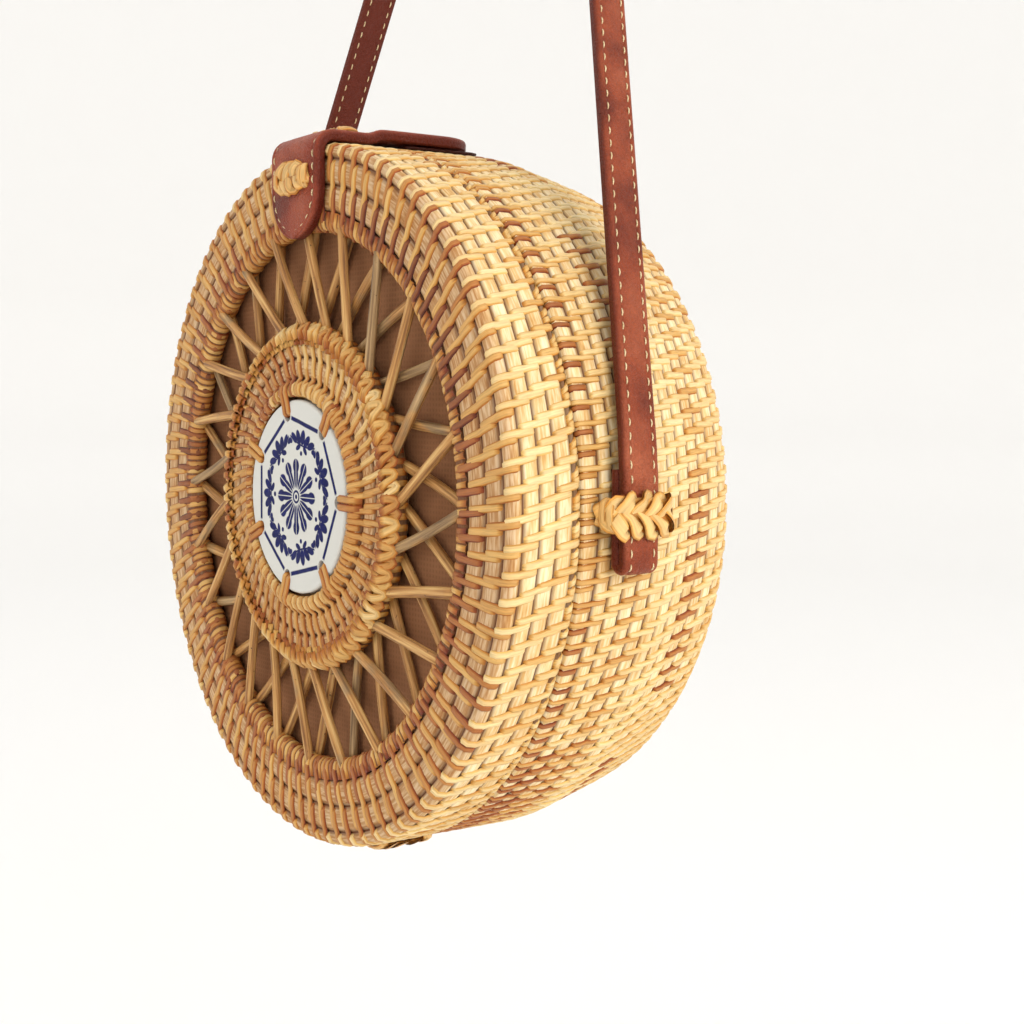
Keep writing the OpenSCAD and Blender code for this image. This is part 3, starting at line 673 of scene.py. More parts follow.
# For each row: its first coil, the way of its strips, their width, main shade and shift.
HUB_ROWS = 58
bm = new_strips()
for start, profile, width, light, shift in (
    (0, ONE_CORE, 2.0, 0.4, 0.5), (0, TWO_CORES, 2.0, 0.34, 0), (1, TWO_CORES, 2.0, 0.38, 0),
    (2, ONE_CORE, 1.9, 0.32, 0),
):
    shades = shade_runs(HUB_ROWS, light, (0.2, 0.45, 0.55))
    for index in range(HUB_ROWS):
        turn = (index - start / 3 + shift + rng.uniform(-0.08, 0.08)) * 360 / HUB_ROWS
        swirl = 4.0 + 2.5 * math.cos(math.radians(turn + 60))
        rows = wrap_rows(hub_at, start, profile, turn, -swirl * profile[-1][0] / 2, rng.uniform(-0.05, 0.15))
        lay_strip(bm, rows, width * rng.uniform(0.88, 1.12), shades[index])
BEAD_ROWS, BEAD_WRAP = 104, ((0, -0.3), (0.15, 0.1), (0.4, 0.15), (0.7, 0.15), (1, 0))
bind_row(bm, bead_at, 0, BEAD_ROWS, 2.5, shade_runs(BEAD_ROWS, 0.35, (0.25, 0.5)), BEAD_WRAP)

# Two layers of loops, each loop an arch from the hub's edge over the ends of the canes.
LOOPS, LOOP_STRIP, LOOP_TONES = 46, 2.5, (0.12, 0.2, 0.26, 0.32, 0.4)
for layer, (reach_in, reach_out, lift) in enumerate(((41.5, 49.3, 0.1), (43.5, 49.4, 0.75))):
    for index in range(LOOPS):
        turn = (index + layer * 0.5 + rng.uniform(-0.08, 0.08)) * 360 / LOOPS
        rows, points = [], []
        for i in range(11):
            angle = math.pi * (0.06 + 0.88 * i / 10)
            r = reach_in + (reach_out - reach_in) * math.sin(angle) ** 0.8
            skew = 3.2 * (r - 45) / 8
            depth = -1.35 - lift - 0.7 * math.sin(angle) + 2.2 * max(0, (r - 47.2) / 2) ** 2
            points.append(bag(r, turn + 2.4 * math.cos(angle) - skew, depth))
        for i, point in enumerate(points):
            radial = Vector((point.x, 0, point.z - AXIS_Z)).normalized()
            out = (Vector((0, -1, 0)) + radial * 0.25).normalized()
            rows.append((point, heading(points, i).cross(out).normalized(), out))
        lay_strip(bm, rows, LOOP_STRIP * rng.uniform(0.85, 1.1), rng.choice(LOOP_TONES), 0.8)
finish_piece("hub_binding", bm, strip_vine, "front_half")

# Disc and its lashings
# White glazed porcelain, painted in cobalt by hand: a border between its seven holes, a wreath
# of plain leaves and a rosette. Vine strips come up through each hole and lie over to the hub.


class Field:
    """A shader value that can be added, multiplied and so on like a number."""

    def __init__(self, socket):
        self.socket = socket

    def _do(self, operation, *others):
        values = [self, *others]
        inputs = {i: v.socket if isinstance(v, Field) else v for i, v in enumerate(values)}
        return Field(add(tree, "ShaderNodeMath", inputs, operation=operation).outputs[0])

    def __add__(self, other):
        return self._do("ADD", other)

    def __sub__(self, other):
        return self._do("SUBTRACT", other)

    def __mul__(self, other):
        return self._do("MULTIPLY", other)

    def __truediv__(self, other):
        return self._do("DIVIDE", other)

    def under(self, limit, soft=0.12):
        """1 where this is under the limit, 0 over it, with a short soft step."""
        limits = {"From Min": limit - soft, "From Max": limit + soft, "To Min": 1.0, "To Max": 0.0}
        made = add(tree, "ShaderNodeMapRange", {"Value": self.socket, **limits})
        return Field(made.outputs["Result"])

    def __getattr__(self, name):
        return lambda *others: self._do(name.upper(), *others)


# The glaze gives a soft, low sheen. The brush's edge wavers and its blue varies by a noise of
# about 4 mm. Places on the disc are in mm from its middle.
HOLES, FIRST_HOLE = 7, -12
glazed, tree, shader = new_material("glazed_porcelain", Roughness=0.2, Specular_IOR_Level=0.09)
on_bag = add(tree, "ShaderNodeTexCoord").outputs["Object"]
place = add(tree, "ShaderNodeSeparateXYZ", {"Vector": on_bag})
wobble = add(tree, "ShaderNodeTexNoise", {"Vector": on_bag, "Scale": 260.0, "Detail": 2.0})
hand = (Field(wobble.outputs["Fac"]) - 0.5) * 0.55
over = Field(place.outputs["X"]) * 1000
up = (Field(place.outputs["Z"]) - AXIS_Z) * 1000
radius = (over * over + up * up).sqrt()
angle = over.arctan2(up)


def sector(count, first):
    """Places along and outwards in one of count equal sectors; first is a sector's middle."""
    turn = (angle - math.radians(first)).wrap(math.pi / count, -math.pi / count)
    return radius * turn.sine(), radius * turn.cosine()


def leaf(along, out, middle, size, lean=0.0):
    """An oval leaf, size across and along, leaning from the outward direction."""
    a, o = along - middle[0], out - middle[1]
    c, s = math.cos(math.radians(lean)), math.sin(math.radians(lean))
    across, length = (a * c - o * s) / size[0], (a * s + o * c) / size[1]
    return (across * across + length * length + hand).under(1.0, 0.14)


along, out = sector(HOLES, FIRST_HOLE + 180 / HOLES)
mirrored = along.absolute()
paint = ((out - 21.4 + hand * 0.4).absolute().under(0.62)).multiply(mirrored.under(8.0, 0.3))
for middle, size, lean in (
    ((0, 17.6), (1.35, 2.3), 0), ((2.5, 17.0), (1.2, 2.3), 36), ((5.0, 16.3), (1.1, 2.1), 62),
    ((6.9, 15.0), (0.8, 1.3), 84), ((2.0, 14.2), (0.8, 1.5), -55),
):
    paint = paint.maximum(leaf(mirrored, out, middle, size, lean))
vine_line = (out - 15.2 - along * along * 0.02).absolute().under(0.3).multiply(mirrored.under(7.4, 0.3))
paint = paint.maximum(vine_line).maximum(leaf(along, out, (0, 12.9), (0.7, 0.7)))
along, out = sector(12, 0)
rib = along.absolute().under(0.12, 0.06) * -1 + 1
petal = leaf(along, out, (0, 6.4), (1.25, 4.0)).maximum(leaf(along, out, (0, 8.9), (1.75, 2.1))).multiply(rib)
paint = paint.maximum(petal).maximum((radius - 1.6).absolute().under(0.35)).maximum(radius.under(0.7))
on_front = Field(place.outputs["Y"]).less_than(FACE_Y + 0.002)
blend = {"Factor": wobble.outputs["Fac"], "A": linear("#04083a"), "B": linear("#0b1662")}
brush = add(tree, "ShaderNodeMix", blend, data_type="RGBA")
painted = paint.multiply(on_front).socket
blend = {"Factor": painted, "A": linear("#d2d1ca"), "B": brush.outputs["Result"]}
ware = add(tree, "ShaderNodeMix", blend, data_type="RGBA")
tree.links.new(ware.outputs["Result"], shader.inputs["Base Color"])


def coat(name, material):
    """Gives a solid of the frame its finish."""
    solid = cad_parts[name].data
    solid.materials.clear()
    solid.materials.append(material)


coat("porcelain_disc", glazed)

# A lashing's way from its hole to the hub, as (distance from the axis, depth) in mm. Two
# strips lie side by side in each.
LASH = (
    (23.4, -1.5), (23.6, -2.6), (24.4, -3.2), (26.5, -3.3), (28.6, -3.5),
    (30.4, -3.75), (32, -3.4), (33.2, -2.4), (34.1, -1.0),
)
LASH_STRIP, LASH_ASIDE = 2.2, 1.12
bm = new_strips()
for index in range(HOLES):
    for side in (-1, 1):
        turn = FIRST_HOLE + index * 360 / HOLES
        angle_of = math.radians(turn)
        across = Vector((math.cos(angle_of), 0, -math.sin(angle_of)))
        radial = Vector((math.sin(angle_of), 0, math.cos(angle_of)))
        rows = []
        for i, (r, d) in enumerate(LASH):
            before, after = LASH[max(i - 1, 0)], LASH[min(i + 1, len(LASH) - 1)]
            run, drop = after[0] - before[0], after[1] - before[1]
            away = (radial * drop + Vector((0, -1, 0)) * run).normalized()
            rows.append((bag(r, turn, d) + across * (side * LASH_ASIDE / 1000), across, away))
        lay_strip(bm, rows, LASH_STRIP, rng.uniform(0.3, 0.5), 0.6)
finish_piece("disc_ties", bm, strip_vine, "front_half", ["disc_lashings"])

# Closing strap and flap
# One band of reddish brown leather, two layers glued and sewn with cream thread: a rounded
# tab on the face, over the corner, and a flap that snaps to a patch on the rear half.


def leather(name, body, dark, light):
    """Vegetable-tanned leather with a pebbled grain of about 1 mm, fine creases and edges
    rubbed darker. The edge attribute is 1 at the cut edges."""
    made, tree, shader = new_material(name, Roughness=0.42, Specular_IOR_Level=0.22)
    place = add(tree, "ShaderNodeTexCoord").outputs["Object"]
    cloud = add(tree, "ShaderNodeTexNoise", {"Vector": place, "Scale": 55.0, "Detail": 4.0})
    fine = add(tree, "ShaderNodeTexNoise", {"Vector": place, "Scale": 900.0, "Detail": 3.0})
    pebble = add(tree, "ShaderNodeTexVoronoi", {"Vector": place, "Scale": 800.0}, feature="DISTANCE_TO_EDGE")
    inputs = {"Vector": place, "Scale": 320.0, "Detail": 2.0, "Distortion": 1.6}
    crease = add(tree, "ShaderNodeTexNoise", inputs)
    lines = add(tree, "ShaderNodeMath", {0: crease.outputs["Fac"], 1: 0.5}, operation="SUBTRACT")
    lines = add(tree, "ShaderNodeMath", {0: lines.outputs[0]}, operation="ABSOLUTE")
    lines = add(tree, "ShaderNodeMapRange", {"Value": lines.outputs[0], "From Min": 0.0, "From Max": 0.035})
    stops = ((0.32, dark), (0.5, body), (0.7, light))
    plain = add(tree, "ShaderNodeValToRGB", {"Fac": cloud.outputs["Fac"]}, stops)
    tinted = shaded(tree, plain.outputs["Color"], fine.outputs["Fac"], 0.3, 0.7, 0.88, 1.1)
    edge = add(tree, "ShaderNodeAttribute", attribute_name="edge")
    blend = {"Factor": edge.outputs["Fac"], "A": tinted, "B": linear(dark)}
    rubbed = add(tree, "ShaderNodeMix", blend, data_type="RGBA")
    limits = {"Value": pebble.outputs["Distance"], "From Min": 0.0, "From Max": 0.12}
    cell = add(tree, "ShaderNodeMapRange", limits)
    cut = {0: cell.outputs["Result"], 1: lines.outputs["Result"]}
    relief = add(tree, "ShaderNodeMath", cut, operation="ADD")
    relief = add(tree, "ShaderNodeMath", {0: relief.outputs[0], 1: fine.outputs["Fac"]}, operation="ADD")
    dress(tree, shader, rubbed.outputs["Result"], relief.outputs[0], 0.5, 0.00032)
    return made


def band_section(half, thick, seam=2.2):
    """A padded leather band: rolled edges, a stitch groove at each side, a domed middle."""
    k = min(1, half / (seam + 1.4))
    top = [
        (half, 0.05), (half - 0.12 * k, 0.45 * thick), (half - 0.5 * k, 0.8 * thick),
        (half - 1.1 * k, 0.97 * thick), (half - (seam - 0.5) * k, 0.95 * thick),
        (half - seam * k, 0.82 * thick), (half - (seam + 0.6) * k, 0.95 * thick), (half * 0.45, thick),
    ]
    low = [(half - 0.5 * k, -thick), (half - 0.1 * k, -0.7 * thick), (half - 0.1 * k, -0.12)]
    mirrored_top = [(-x, y) for x, y in reversed(top)]
    mirrored_low = [(-x, y) for x, y in reversed(low)]
    return [*top, (0, 1.01 * thick), *mirrored_top, *mirrored_low, *low]


def leather_band(bm, rows, halves, thick, seam=2.2):
    """Sweeps a leather band, with its cut edges marked for the material."""
    bm.verts.layers.float.new("edge")
    sweep(bm, rows, lambda row: band_section(halves[row], thick, seam))
    bmesh.ops.recalc_face_normals(bm, faces=bm.faces)


def measured(rows):
    """A place function: rows at any distance along, in mm, and the whole length."""
    marks = [0.0]
    for (a, _, _), (b, _, _) in zip(rows, rows[1:]):
        marks.append(marks[-1] + (b - a).length * 1000)

    def at(distance):
        k = 0
        while k < len(marks) - 2 and marks[k + 1] < distance:
            k += 1
        share = (distance - marks[k]) / (marks[k + 1] - marks[k])
        return [a.lerp(b, share) for a, b in zip(rows[k], rows[k + 1])]

    return at, marks[-1]


def stitch_line(bm, path, pitch=3.6, length=2.1, thread=0.22):
    """Saddle stitches along a path of (point, across, outward) rows: each a short fat thread
    that dips into its holes."""
    at, whole = measured(path)
    count = int(whole / pitch)
    for index in range(count):
        start = (index + 0.5) * whole / count - length / 2
        rows = []
        for i in range(6):
            point, across, out = at(start + length * i / 5)
            rise = 0.3 * math.sin(math.pi * i / 5) - 0.12
            rows.append((point + out * (rise / 1000), across, out))
        fat = [0.55, 0.95, 1, 1, 0.95, 0.55]
        sweep(bm, rows, lambda row: ring(thread * fat[row], thread * fat[row], 6))


# Waxed thread in cream, with a twist of 0.4 mm that shows as fine light and dark.
thread_cream, tree, shader = new_material("waxed_thread", Roughness=0.6)
place = add(tree, "ShaderNodeTexCoord").outputs["Object"]
twist = add(tree, "ShaderNodeTexNoise", {"Vector": place, "Scale": 2600.0, "Detail": 2.0}).outputs["Fac"]
plain = add(tree, "ShaderNodeValToRGB", {"Fac": twist}, ((0.35, "#b79a6c"), (0.6, "#e2cfa6")))
dress(tree, shader, plain.outputs["Color"], twist, 0.5, 0.0002)


def side_point(depth, height):
    """A point of the bag's middle plane, by depth behind the face and height over its middle."""
    return Vector((0, FACE_Y + depth / 1000, AXIS_Z + height / 1000))


# The band by (depth behind the face, height over the bag's middle) in mm: up the face, round
# the top edge, and back over the rear half. ROUND is half its width and its ends' radius.
ROUND, BAND_THICK, BAND_TOP, FLAP_END = 13.5, 1.58, 103, 53.8
ON_FACE, TURN_MIDDLE, TURN_R = -1.65, (3, 97), 4.65
tip_steps = [ROUND * (1 - math.cos(math.pi / 2 * i / 12)) for i in range(13)]
tab = [(ON_FACE, 73.5 + step) for step in tip_steps] + [(ON_FACE, h) for h in (90, 93, 96)]
quarter = [math.pi / 2 * i / 8 for i in range(9)]
turn = [(TURN_MIDDLE[0] - TURN_R * math.cos(a), TURN_MIDDLE[1] + TURN_R * math.sin(a)) for a in quarter]
top = [
    (5, 101.65), (9, 101.6), (13, 101.55), (15, 101.6), (16.2, 101.9), (17.4, 102.5), (18.6, 102.85),
    (20, 102.95), (23, BAND_TOP),
]
flap = [(d, BAND_TOP) for d in (27, 32, 37)] + [(FLAP_END - step, BAND_TOP) for step in reversed(tip_steps)]
band_points = [side_point(*point) for point in tab + turn + top + flap]
band_rows = rows_along(band_points, Vector((1, 0, 0)))
at, BAND = measured(band_rows)
halves, gone = [], 0.0
for index, row in enumerate(band_rows):
    gone += (row[0] - band_rows[index - 1][0]).length * 1000 if index else 0
    short = ROUND - min(gone, BAND - gone, ROUND)
    halves.append(max(math.sqrt(max(ROUND**2 - short**2, 0)), 0.7))
tan_leather = leather("tab_leather", "#8b3a23", "#612416", "#a25135")
bm = bmesh.new()
leather_band(bm, band_rows, halves, BAND_THICK)
solids = ["closure_strap", "closure_flap"]
band = finish_piece("closing_band", bm, tan_leather, replaced=solids)
FOLD = (side_point(13.8, BAND_TOP), side_point(21.4, BAND_TOP))
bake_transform(band, "front_half", "flap", start=FOLD[0], end=FOLD[1])

# The seam runs round the band inside its edge: a side, an end, and both mirrored.
SEAM_IN, SEAM_LIFT = 2.3, 1.38
inner = ROUND - SEAM_IN
side_end = BAND - ROUND - 2
line = [(side_end - 3 * i, -inner) for i in range(int((BAND - 2 * ROUND - 4) / 3) + 1)]
half_turn = [math.pi * i / 40 for i in range(41)]
loop = [(ROUND - inner * math.sin(a), -inner * math.cos(a)) for a in half_turn]
line += loop + [(d, -x) for d, x in reversed(line)] + [(BAND - d, -x) for d, x in loop]
points = []
for distance, offset in line:
    middle, across, out = at(distance)
    points.append((middle + across * (offset / 1000) + out * (SEAM_LIFT / 1000), across, out))
points.append(points[0])
bm = bmesh.new()
stitch_line(bm, points)
bmesh.ops.recalc_face_normals(bm, faces=bm.faces)
stitches = finish_piece("closing_stitches", bm, thread_cream)
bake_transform(stitches, "front_half", "flap", start=FOLD[0], end=FOLD[1])

# The catch patch lies on the wall under the flap, a little narrower at both ends.
PATCH_FROM, PATCH_LONG, PATCH_HALF, PATCH_MIDDLE = 27.9, 24.8, 12, 100.45
patch_points = [side_point(PATCH_FROM + PATCH_LONG * i / 12, PATCH_MIDDLE) for i in range(13)]
patch_halves = [PATCH_HALF - 0.8, *[PATCH_HALF] * 11, PATCH_HALF - 0.8]
bm = bmesh.new()
leather_band(bm, rows_along(patch_points, Vector((1, 0, 0))), patch_halves, 0.5, 1.6)
dark_leather = leather("patch_leather", "#5a2316", "#3a150d", "#6f3121")
finish_piece("catch_pad", bm, dark_leather, "rear_half", ["catch_patch"])

# Aged brass, whose darker and brighter patches of 2 mm come from handling.
aged_brass, tree, shader = new_material("aged_brass", Metallic=1.0, Roughness=0.34)
place = add(tree, "ShaderNodeTexCoord").outputs["Object"]
wear_streaks_and_shade = add(tree, "ShaderNodeTexNoise", {"Vector": place, "Scale": 480.0, "Detail": 4.0}).outputs["Fac"]
plain = add(tree, "ShaderNodeValToRGB", {"Fac": wear_streaks_and_shade}, ((0.35, "#8b7242"), (0.62, "#c8aa6a")))
tree.links.new(plain.outputs["Color"], shader.inputs["Base Color"])
for node in ("snap_socket", "snap_stud"):
    coat(node, aged_brass)

# Plaited knots and hinge lashings
# Flat plaits of three wide honey-coloured strips: two hold the closing strap, one at each
# side holds the shoulder strap, and two under the seam are the hinges.
KNOT_STOPS = ((0, "#e2bc7c"), (0.3, "#c8954e"), (0.55, "#a66a2a"), (0.8, "#7c4716"), (1, "#401e07"))
knot_vine = vine_strip("knot_vine", KNOT_STOPS, roughness=0.4, contrast=0.24, uv_scale=(2.5, 7.0), dive=1.3)

# Strips that bind a plait's end: places along the plait, and a strip's section as (share of
# its reach, height in mm).
BOUND_AT = (0.075, 0.15, 0.85, 0.925)
BOUND_OVER = (
    (-1.3, -1.5), (-1.22, -0.5), (-0.95, 0.4), (-0.4, 0.85),
    (0.3, 0.9), (0.9, 0.45), (1.2, -0.5), (1.3, -1.5),
)


def plait(bm, carrier, swing, width, period, thick, phase):
    """Three flat strips plaited along a carrier of (point, across, outward) rows, round a flat
    bundle of the same vine. A noise keeps the strips from being all alike."""
    at, whole = measured(carrier)
    last = len(carrier) - 1
    girths = [0.55 + 0.5 * min(1, 3 * min(i, last - i) / (last + 1)) for i in range(last + 1)]
    bundle = [(middle - out * 0.0005, across, out) for middle, across, out in carrier]
    sweep(bm, bundle, lambda row: ring(swing * girths[row], 0.45, 12), 0.35)
    steps = max(int(whole / 0.55), 12)
    for strand in range(3):
        points, outs, rolls = [], [], []
        for i in range(steps + 1):
            distance = whole * i / steps
            middle, across, out = at(distance)
            angle = math.tau * ((distance - whole / 2) / period + strand / 3) + phase
            over = thick * math.sin(2 * angle) + 0.35 * noise.noise((distance / 2.1, strand * 5.3, 0.5))
            close = min(1, 0.2 + 2.8 * min(distance, whole - distance) / whole)
            bent = math.asin(0.94 * math.sin(angle)) / math.asin(0.94)
            bent += 0.3 * noise.noise((distance / 3.0, strand * 7.1, 3.3))
            twist = 0.35 * math.cos(angle) + 0.6 * noise.noise((distance / 2.6, strand * 3.7, 8.1))
            points.append(middle + across * (swing * close * bent / 1000) + out * (over / 1000))
            outs.append(out)
            rolls.append(close * twist)
        rows = []
        for i, (point, out, roll) in enumerate(zip(points, outs, rolls)):
            forward = heading(points, i)
            side = forward.cross(out).normalized()
            lifted = side.cross(forward).normalized()
            across = side * math.cos(roll) + lifted * math.sin(roll)
            rows.append((point, across, lifted * math.cos(roll) - side * math.sin(roll)))
        lay_strip(bm, rows, width * rng.uniform(0.95, 1.05), rng.choice((0.02, 0.1, 0.2)), 0.45)
        under = [(point - out * 0.0007, across, out) for point, across, out in rows]
        lay_strip(bm, under, width * 0.96, rng.choice((0.25, 0.35)), 0.3)
    reach = swing * 0.8
    for share in BOUND_AT:
        middle, across, out = at(whole * share)
        points = [middle + across * (x * reach / 1000) + out * (height / 1000) for x, height in BOUND_OVER]
        rows = rows_along(points, across.cross(out))
        lay_strip(bm, rows, 2.5 * rng.uniform(0.9, 1.1), rng.choice((0.05, 0.15, 0.25)), 0.4)


def arch(out_hint, half_flat, half_span, height, drop, place_of):
    """Rows of a low arch: flat in the middle over half_flat to each side, curving down by drop
    to its feet at half_span, all in mm. Across is square to the arch's own plane."""
    points, rows = [], []
    for i in range(31):
        along = -half_span + 2 * half_span * i / 30
        beyond = max(abs(along) - half_flat, 0) / (half_span - half_flat)
        points.append(place_of(along, height - drop * (1 - math.sqrt(max(1 - beyond * beyond, 0)))))
    for i, point in enumerate(points):
        forward = heading(points, i)
        across = forward.cross(out_hint).normalized()
        rows.append((point, across, across.cross(forward).normalized()))
    return rows


def knot(name, rows, plaited, body=None, replaced=()):
    """A finished plait over an arch. plaited is its swing to each side, its strips' width, its
    period and how far they rise, in mm, and its phase."""
    bm = new_strips()
    plait(bm, rows, *plaited)
    return finish_piece(name, bm, knot_vine, body, replaced)


for name, side in (("right", 1), ("left", -1)):
    rows = arch(
        Vector((side, 0, 0)), 6.6, 9.9, 108.3, 7.6,
        lambda along, r: Vector((side * r / 1000, FACE_Y + (35 + side * along) / 1000, AXIS_Z)),
    )
    knot("strap_knot_" + name, rows, (4.1, 4.2, 13.0, 0.8, 0.6), "rear_half", ["side_knot_" + name])
rows = arch(
    Vector((0, -1, 0)), 6.2, 9.2, 4.5, 1.4,
    lambda along, out: Vector((along / 1000, FACE_Y - out / 1000, AXIS_Z + 0.0905)),
)
knot("face_knot", rows, (3.4, 3.2, 11.5, 0.7, 0.3), "front_half", ["closure_knot_face"])
rows = arch(
    Vector((0, 0, 1)), 6.2, 9.2, 104.5, 1.4,
    lambda along, out: Vector((along / 1000, FACE_Y + 0.0104, AXIS_Z + out / 1000)),
)
knot("top_knot", rows, (3.4, 3.2, 11.5, 0.7, 1.2), "front_half", ["closure_knot_top"])
for name, x in (("right", 18), ("left", -18)):
    rows = arch(
        Vector((x / 100, 0, -1)).normalized(), 7.0, 9.4, 101.9, 1.3,
        lambda along, r: Vector(
            (x / 1000, FACE_Y + (21.15 + along) / 1000, AXIS_Z - math.sqrt(r * r - x * x) / 1000)
        ),
    )
    nodes = ["hinge_lashings_front", "hinge_lashings_rear"] if x > 0 else []
    lashing = knot("hinge_lashing_" + name, rows, (4.0, 3.7, 12.5, 0.6, 0.9), replaced=nodes)
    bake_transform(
        lashing, "rear_half", "front_half",
        start=Vector((0, FACE_Y + 0.0245, 0.002)), end=Vector((0, FACE_Y + 0.0178, 0.002)),
    )

# Shoulder strap
# One long flat strap of chestnut leather, edges rolled and sewn with cream thread. Each end
# goes down through its knot, folds up behind itself and shows a short tail.

# In mm: the strap's depth behind the face, its distance from the bag's axis at a knot, and
# its height over that axis, then its half width, thickness and the place of its seams.
STATION, INNER, STRAP_TOP = 35.0, 100.3, 313
STRAP_HALF, STRAP_THICK, SEAM_ASIDE = 5.5, 1.58, 3.6
# Heights over the axis, in mm: the tail's end, the fold at the bottom, the knot's top, and
# where the strap starts to lean in and to lean back.
TAIL_END, FOLD_LOW, KNOT_TOP, EASE_FROM, BEND = 10.9, -11.8, 7.7, 7.6, 11.3
# Radii of the fold, of the bend above a knot and at the top, and the lean back, which is
# reached over some height.
FOLD_R, EASE_R, TURN = 1.6, 26, 14.0
TILT, LEAN_OVER = math.radians(10), 8
LINE = INNER + 3 * FOLD_R
turn_height = STRAP_TOP - BEND - TURN
lean = math.atan2(LINE, turn_height) - math.asin(TURN / math.hypot(LINE, turn_height))
plane = steps_between((INNER + FOLD_R, TAIL_END), (INNER + FOLD_R, FOLD_LOW), 14)
for i in range(1, 8):
    a = math.pi * i / 8
    plane.append((INNER + 2 * FOLD_R - FOLD_R * math.cos(a), FOLD_LOW - FOLD_R * math.sin(a)))
plane += steps_between((LINE, FOLD_LOW), (LINE, KNOT_TOP), 11)
for i in range(1, 9):
    a = lean * i / 9
    plane.append((LINE - EASE_R * (1 - math.cos(a)), EASE_FROM + EASE_R * math.sin(a)))
meet = (TURN * math.cos(lean), turn_height + TURN * math.sin(lean) + BEND)
plane += steps_between(plane[-1], meet, 60)[1:]
for i in range(1, 13):
    a = lean + (math.pi / 2 - lean) * i / 12
    plane.append((TURN * math.cos(a), turn_height + BEND + TURN * math.sin(a)))
plane += [(-x, z) for x, z in reversed(plane[:-1])]


def hung(x, z):
    """A point of the strap's own plane, which eases into its lean back above the knots."""
    above = max(z - BEND, 0)
    leant = above if above > LEAN_OVER else above * above / LEAN_OVER * (2 - above / LEAN_OVER)
    return Vector((
        x / 1000,
        FACE_Y + (STATION + leant * math.sin(TILT)) / 1000,
        AXIS_Z + (min(z, BEND) + above * math.cos(TILT)) / 1000,
    ))


strap_points = [hung(*point) for point in plane]
strap_rows = []
for i, point in enumerate(strap_points):
    forward = heading(strap_points, i)
    share = min(max((plane[i][1] - BEND) / 12, 0), 1)
    wide = Vector((0, math.cos(TILT * share), -math.sin(TILT * share)))
    out = wide.cross(forward).normalized()
    strap_rows.append((point, forward.cross(out).normalized(), out))
chestnut = leather("strap_leather", "#8c3f24", "#5f2212", "#a35638")
bm = bmesh.new()
leather_band(bm, strap_rows, [STRAP_HALF] * len(strap_rows), STRAP_THICK, STRAP_HALF - SEAM_ASIDE)
finish_piece("carrying_strap", bm, chestnut, "strap", ["shoulder_strap"])
# Two seams on each face, by side, face and their lift from the strap's middle layer in mm.
bm = bmesh.new()
for side, face, lift in ((-1, 1, 1.38), (1, 1, 1.38), (-1, -1, 1.52), (1, -1, 1.52)):
    line = [
        (point + across * (side * SEAM_ASIDE / 1000) + out * (face * lift / 1000), across, out * face)
        for point, across, out in strap_rows
    ]
    stitch_line(bm, line)
bmesh.ops.recalc_face_normals(bm, faces=bm.faces)
finish_piece("strap_stitches", bm, thread_cream, "strap")

# Linings
# Brown cotton in plain weave, sewn in behind the grille and inside the rear half. Each is a
# flat round and a strip round the wall, drawn tight with a few soft folds, whose shade is
# painted into the colour.
COTTON_THICK = 0.0005
cotton, tree, shader = new_material("brown_cotton", Roughness=0.95, Specular_IOR_Level=0.15)
place = add(tree, "ShaderNodeTexCoord").outputs["Object"]
inputs = {"Vector": place, "Scale": 38.0, "Detail": 2.0, "Distortion": 0.8}
fold_relief_and_shade = add(tree, "ShaderNodeTexNoise", inputs).outputs["Fac"]
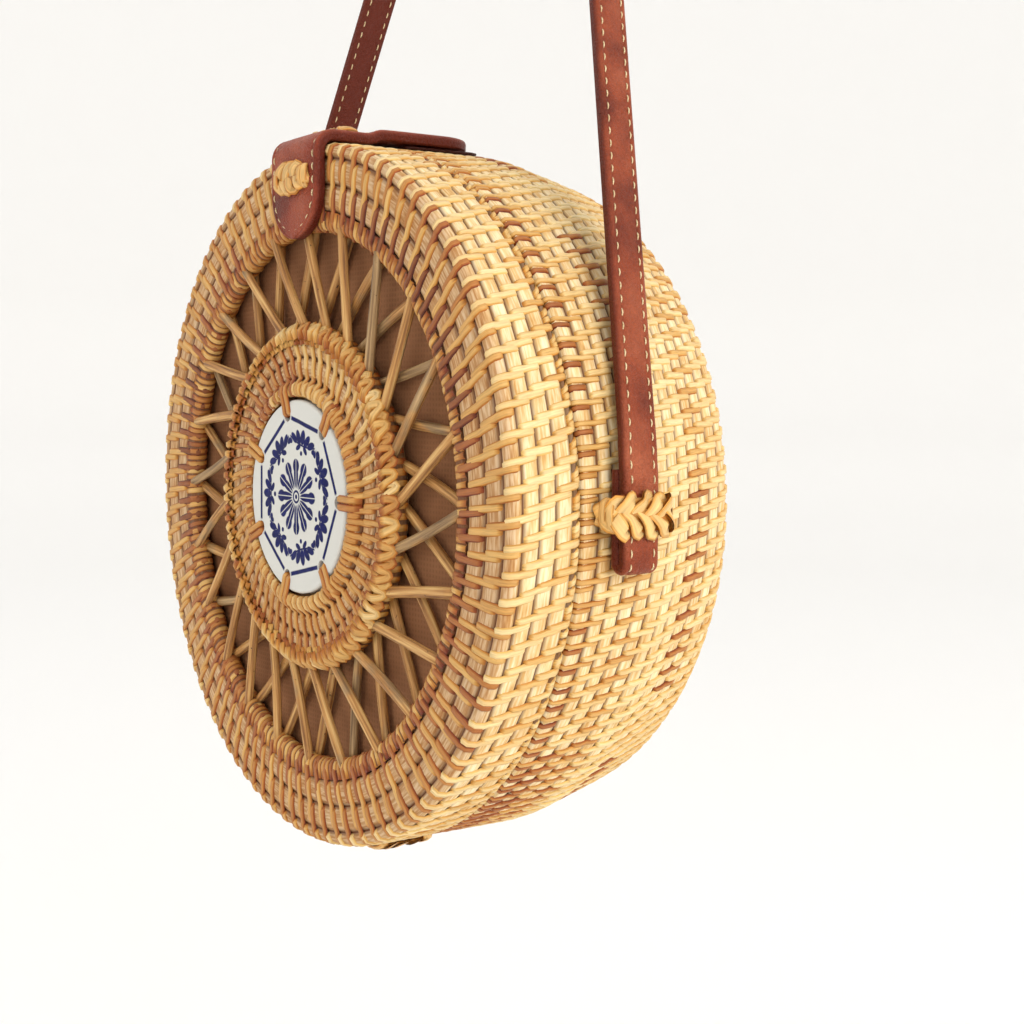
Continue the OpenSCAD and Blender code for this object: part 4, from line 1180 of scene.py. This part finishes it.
# Painted shade: the colour follows the folds' relief, darker low in them and lighter on top.
plain = add(tree, "ShaderNodeValToRGB", {"Fac": fold_relief_and_shade}, ((0.3, "#7a5135"), (0.7, "#8c6143")))
threads = []
for direction in ("X", "Y", "Z"):
    # Threads 0.7 mm apart, a little coarser than the real ones so that they show.
    inputs = {"Vector": place, "Scale": 225.0, "Distortion": 0.3}
    threads.append(add(tree, "ShaderNodeTexWave", inputs, bands_direction=direction).outputs["Fac"])
weave = add(tree, "ShaderNodeMath", {0: threads[0], 1: threads[2]}, operation="MAXIMUM")
weave = add(tree, "ShaderNodeMath", {0: weave.outputs[0], 1: threads[1]}, operation="ADD")
tinted = shaded(tree, plain.outputs["Color"], weave.outputs[0], 0.2, 1.8, 0.8, 1.15)
bump = add(tree, "ShaderNodeBump", {"Height": weave.outputs[0], "Strength": 0.4, "Distance": 0.0002})
inputs = {"Height": fold_relief_and_shade, "Normal": bump.outputs[0], "Strength": 0.35, "Distance": 0.002}
deep = add(tree, "ShaderNodeBump", inputs)
tree.links.new(tinted, shader.inputs["Base Color"])
tree.links.new(deep.outputs[0], shader.inputs["Normal"])


def lining(name, profile, body, replaced, puff=0.0):
    """A cloth spun from its section, softly uneven by puff in mm, given the cloth's thickness."""
    bm = bmesh.new()
    verts = [bm.verts.new(bag(r, 0, d)) for r, d in profile]
    spin_profile(bm, verts, bag(0, 0, 0), (0, 1, 0), 120)
    for vert in bm.verts:
        vert.co.y += puff / 1000 * noise.noise(vert.co * 55)
    piece = finish_piece(name, bm, cotton, body, replaced)
    cloth = piece.modifiers.new("cloth", "SOLIDIFY")
    cloth.thickness, cloth.offset = COTTON_THICK, 0


# Radii and depths are in mm. The rear wall's cup follows the shell inside it.
lining(
    "front_lining_round", steps_between((0, 6.85), (94.7, 6.85), 30), "front_half", ["front_lining"],
    0.25,
)
lining("front_lining_wall", steps_between((94.7, 7.2), (94.7, 18.9), 4), "front_half", [])
LINED = 5.25
bend = (WALL_R - LINED, KINK[1] - LINED * math.tan(LEAN / 2))
end_radius = CORNER_RADIUS - LINED
corner = arc(REAR_CORNER, end_radius, math.degrees(LEAN), 90, 6)
cup = steps_between((WALL_R - LINED, 24.4), bend, 6) + steps_between(bend, corner[0], 6)[1:] + corner[1:]
lining("rear_lining_wall", cup, "rear_half", ["rear_lining"])
lining(
    "rear_lining_round", steps_between((0, 74.75), (84.9, 74.75), 24), "rear_half", [],
    0.3,
)
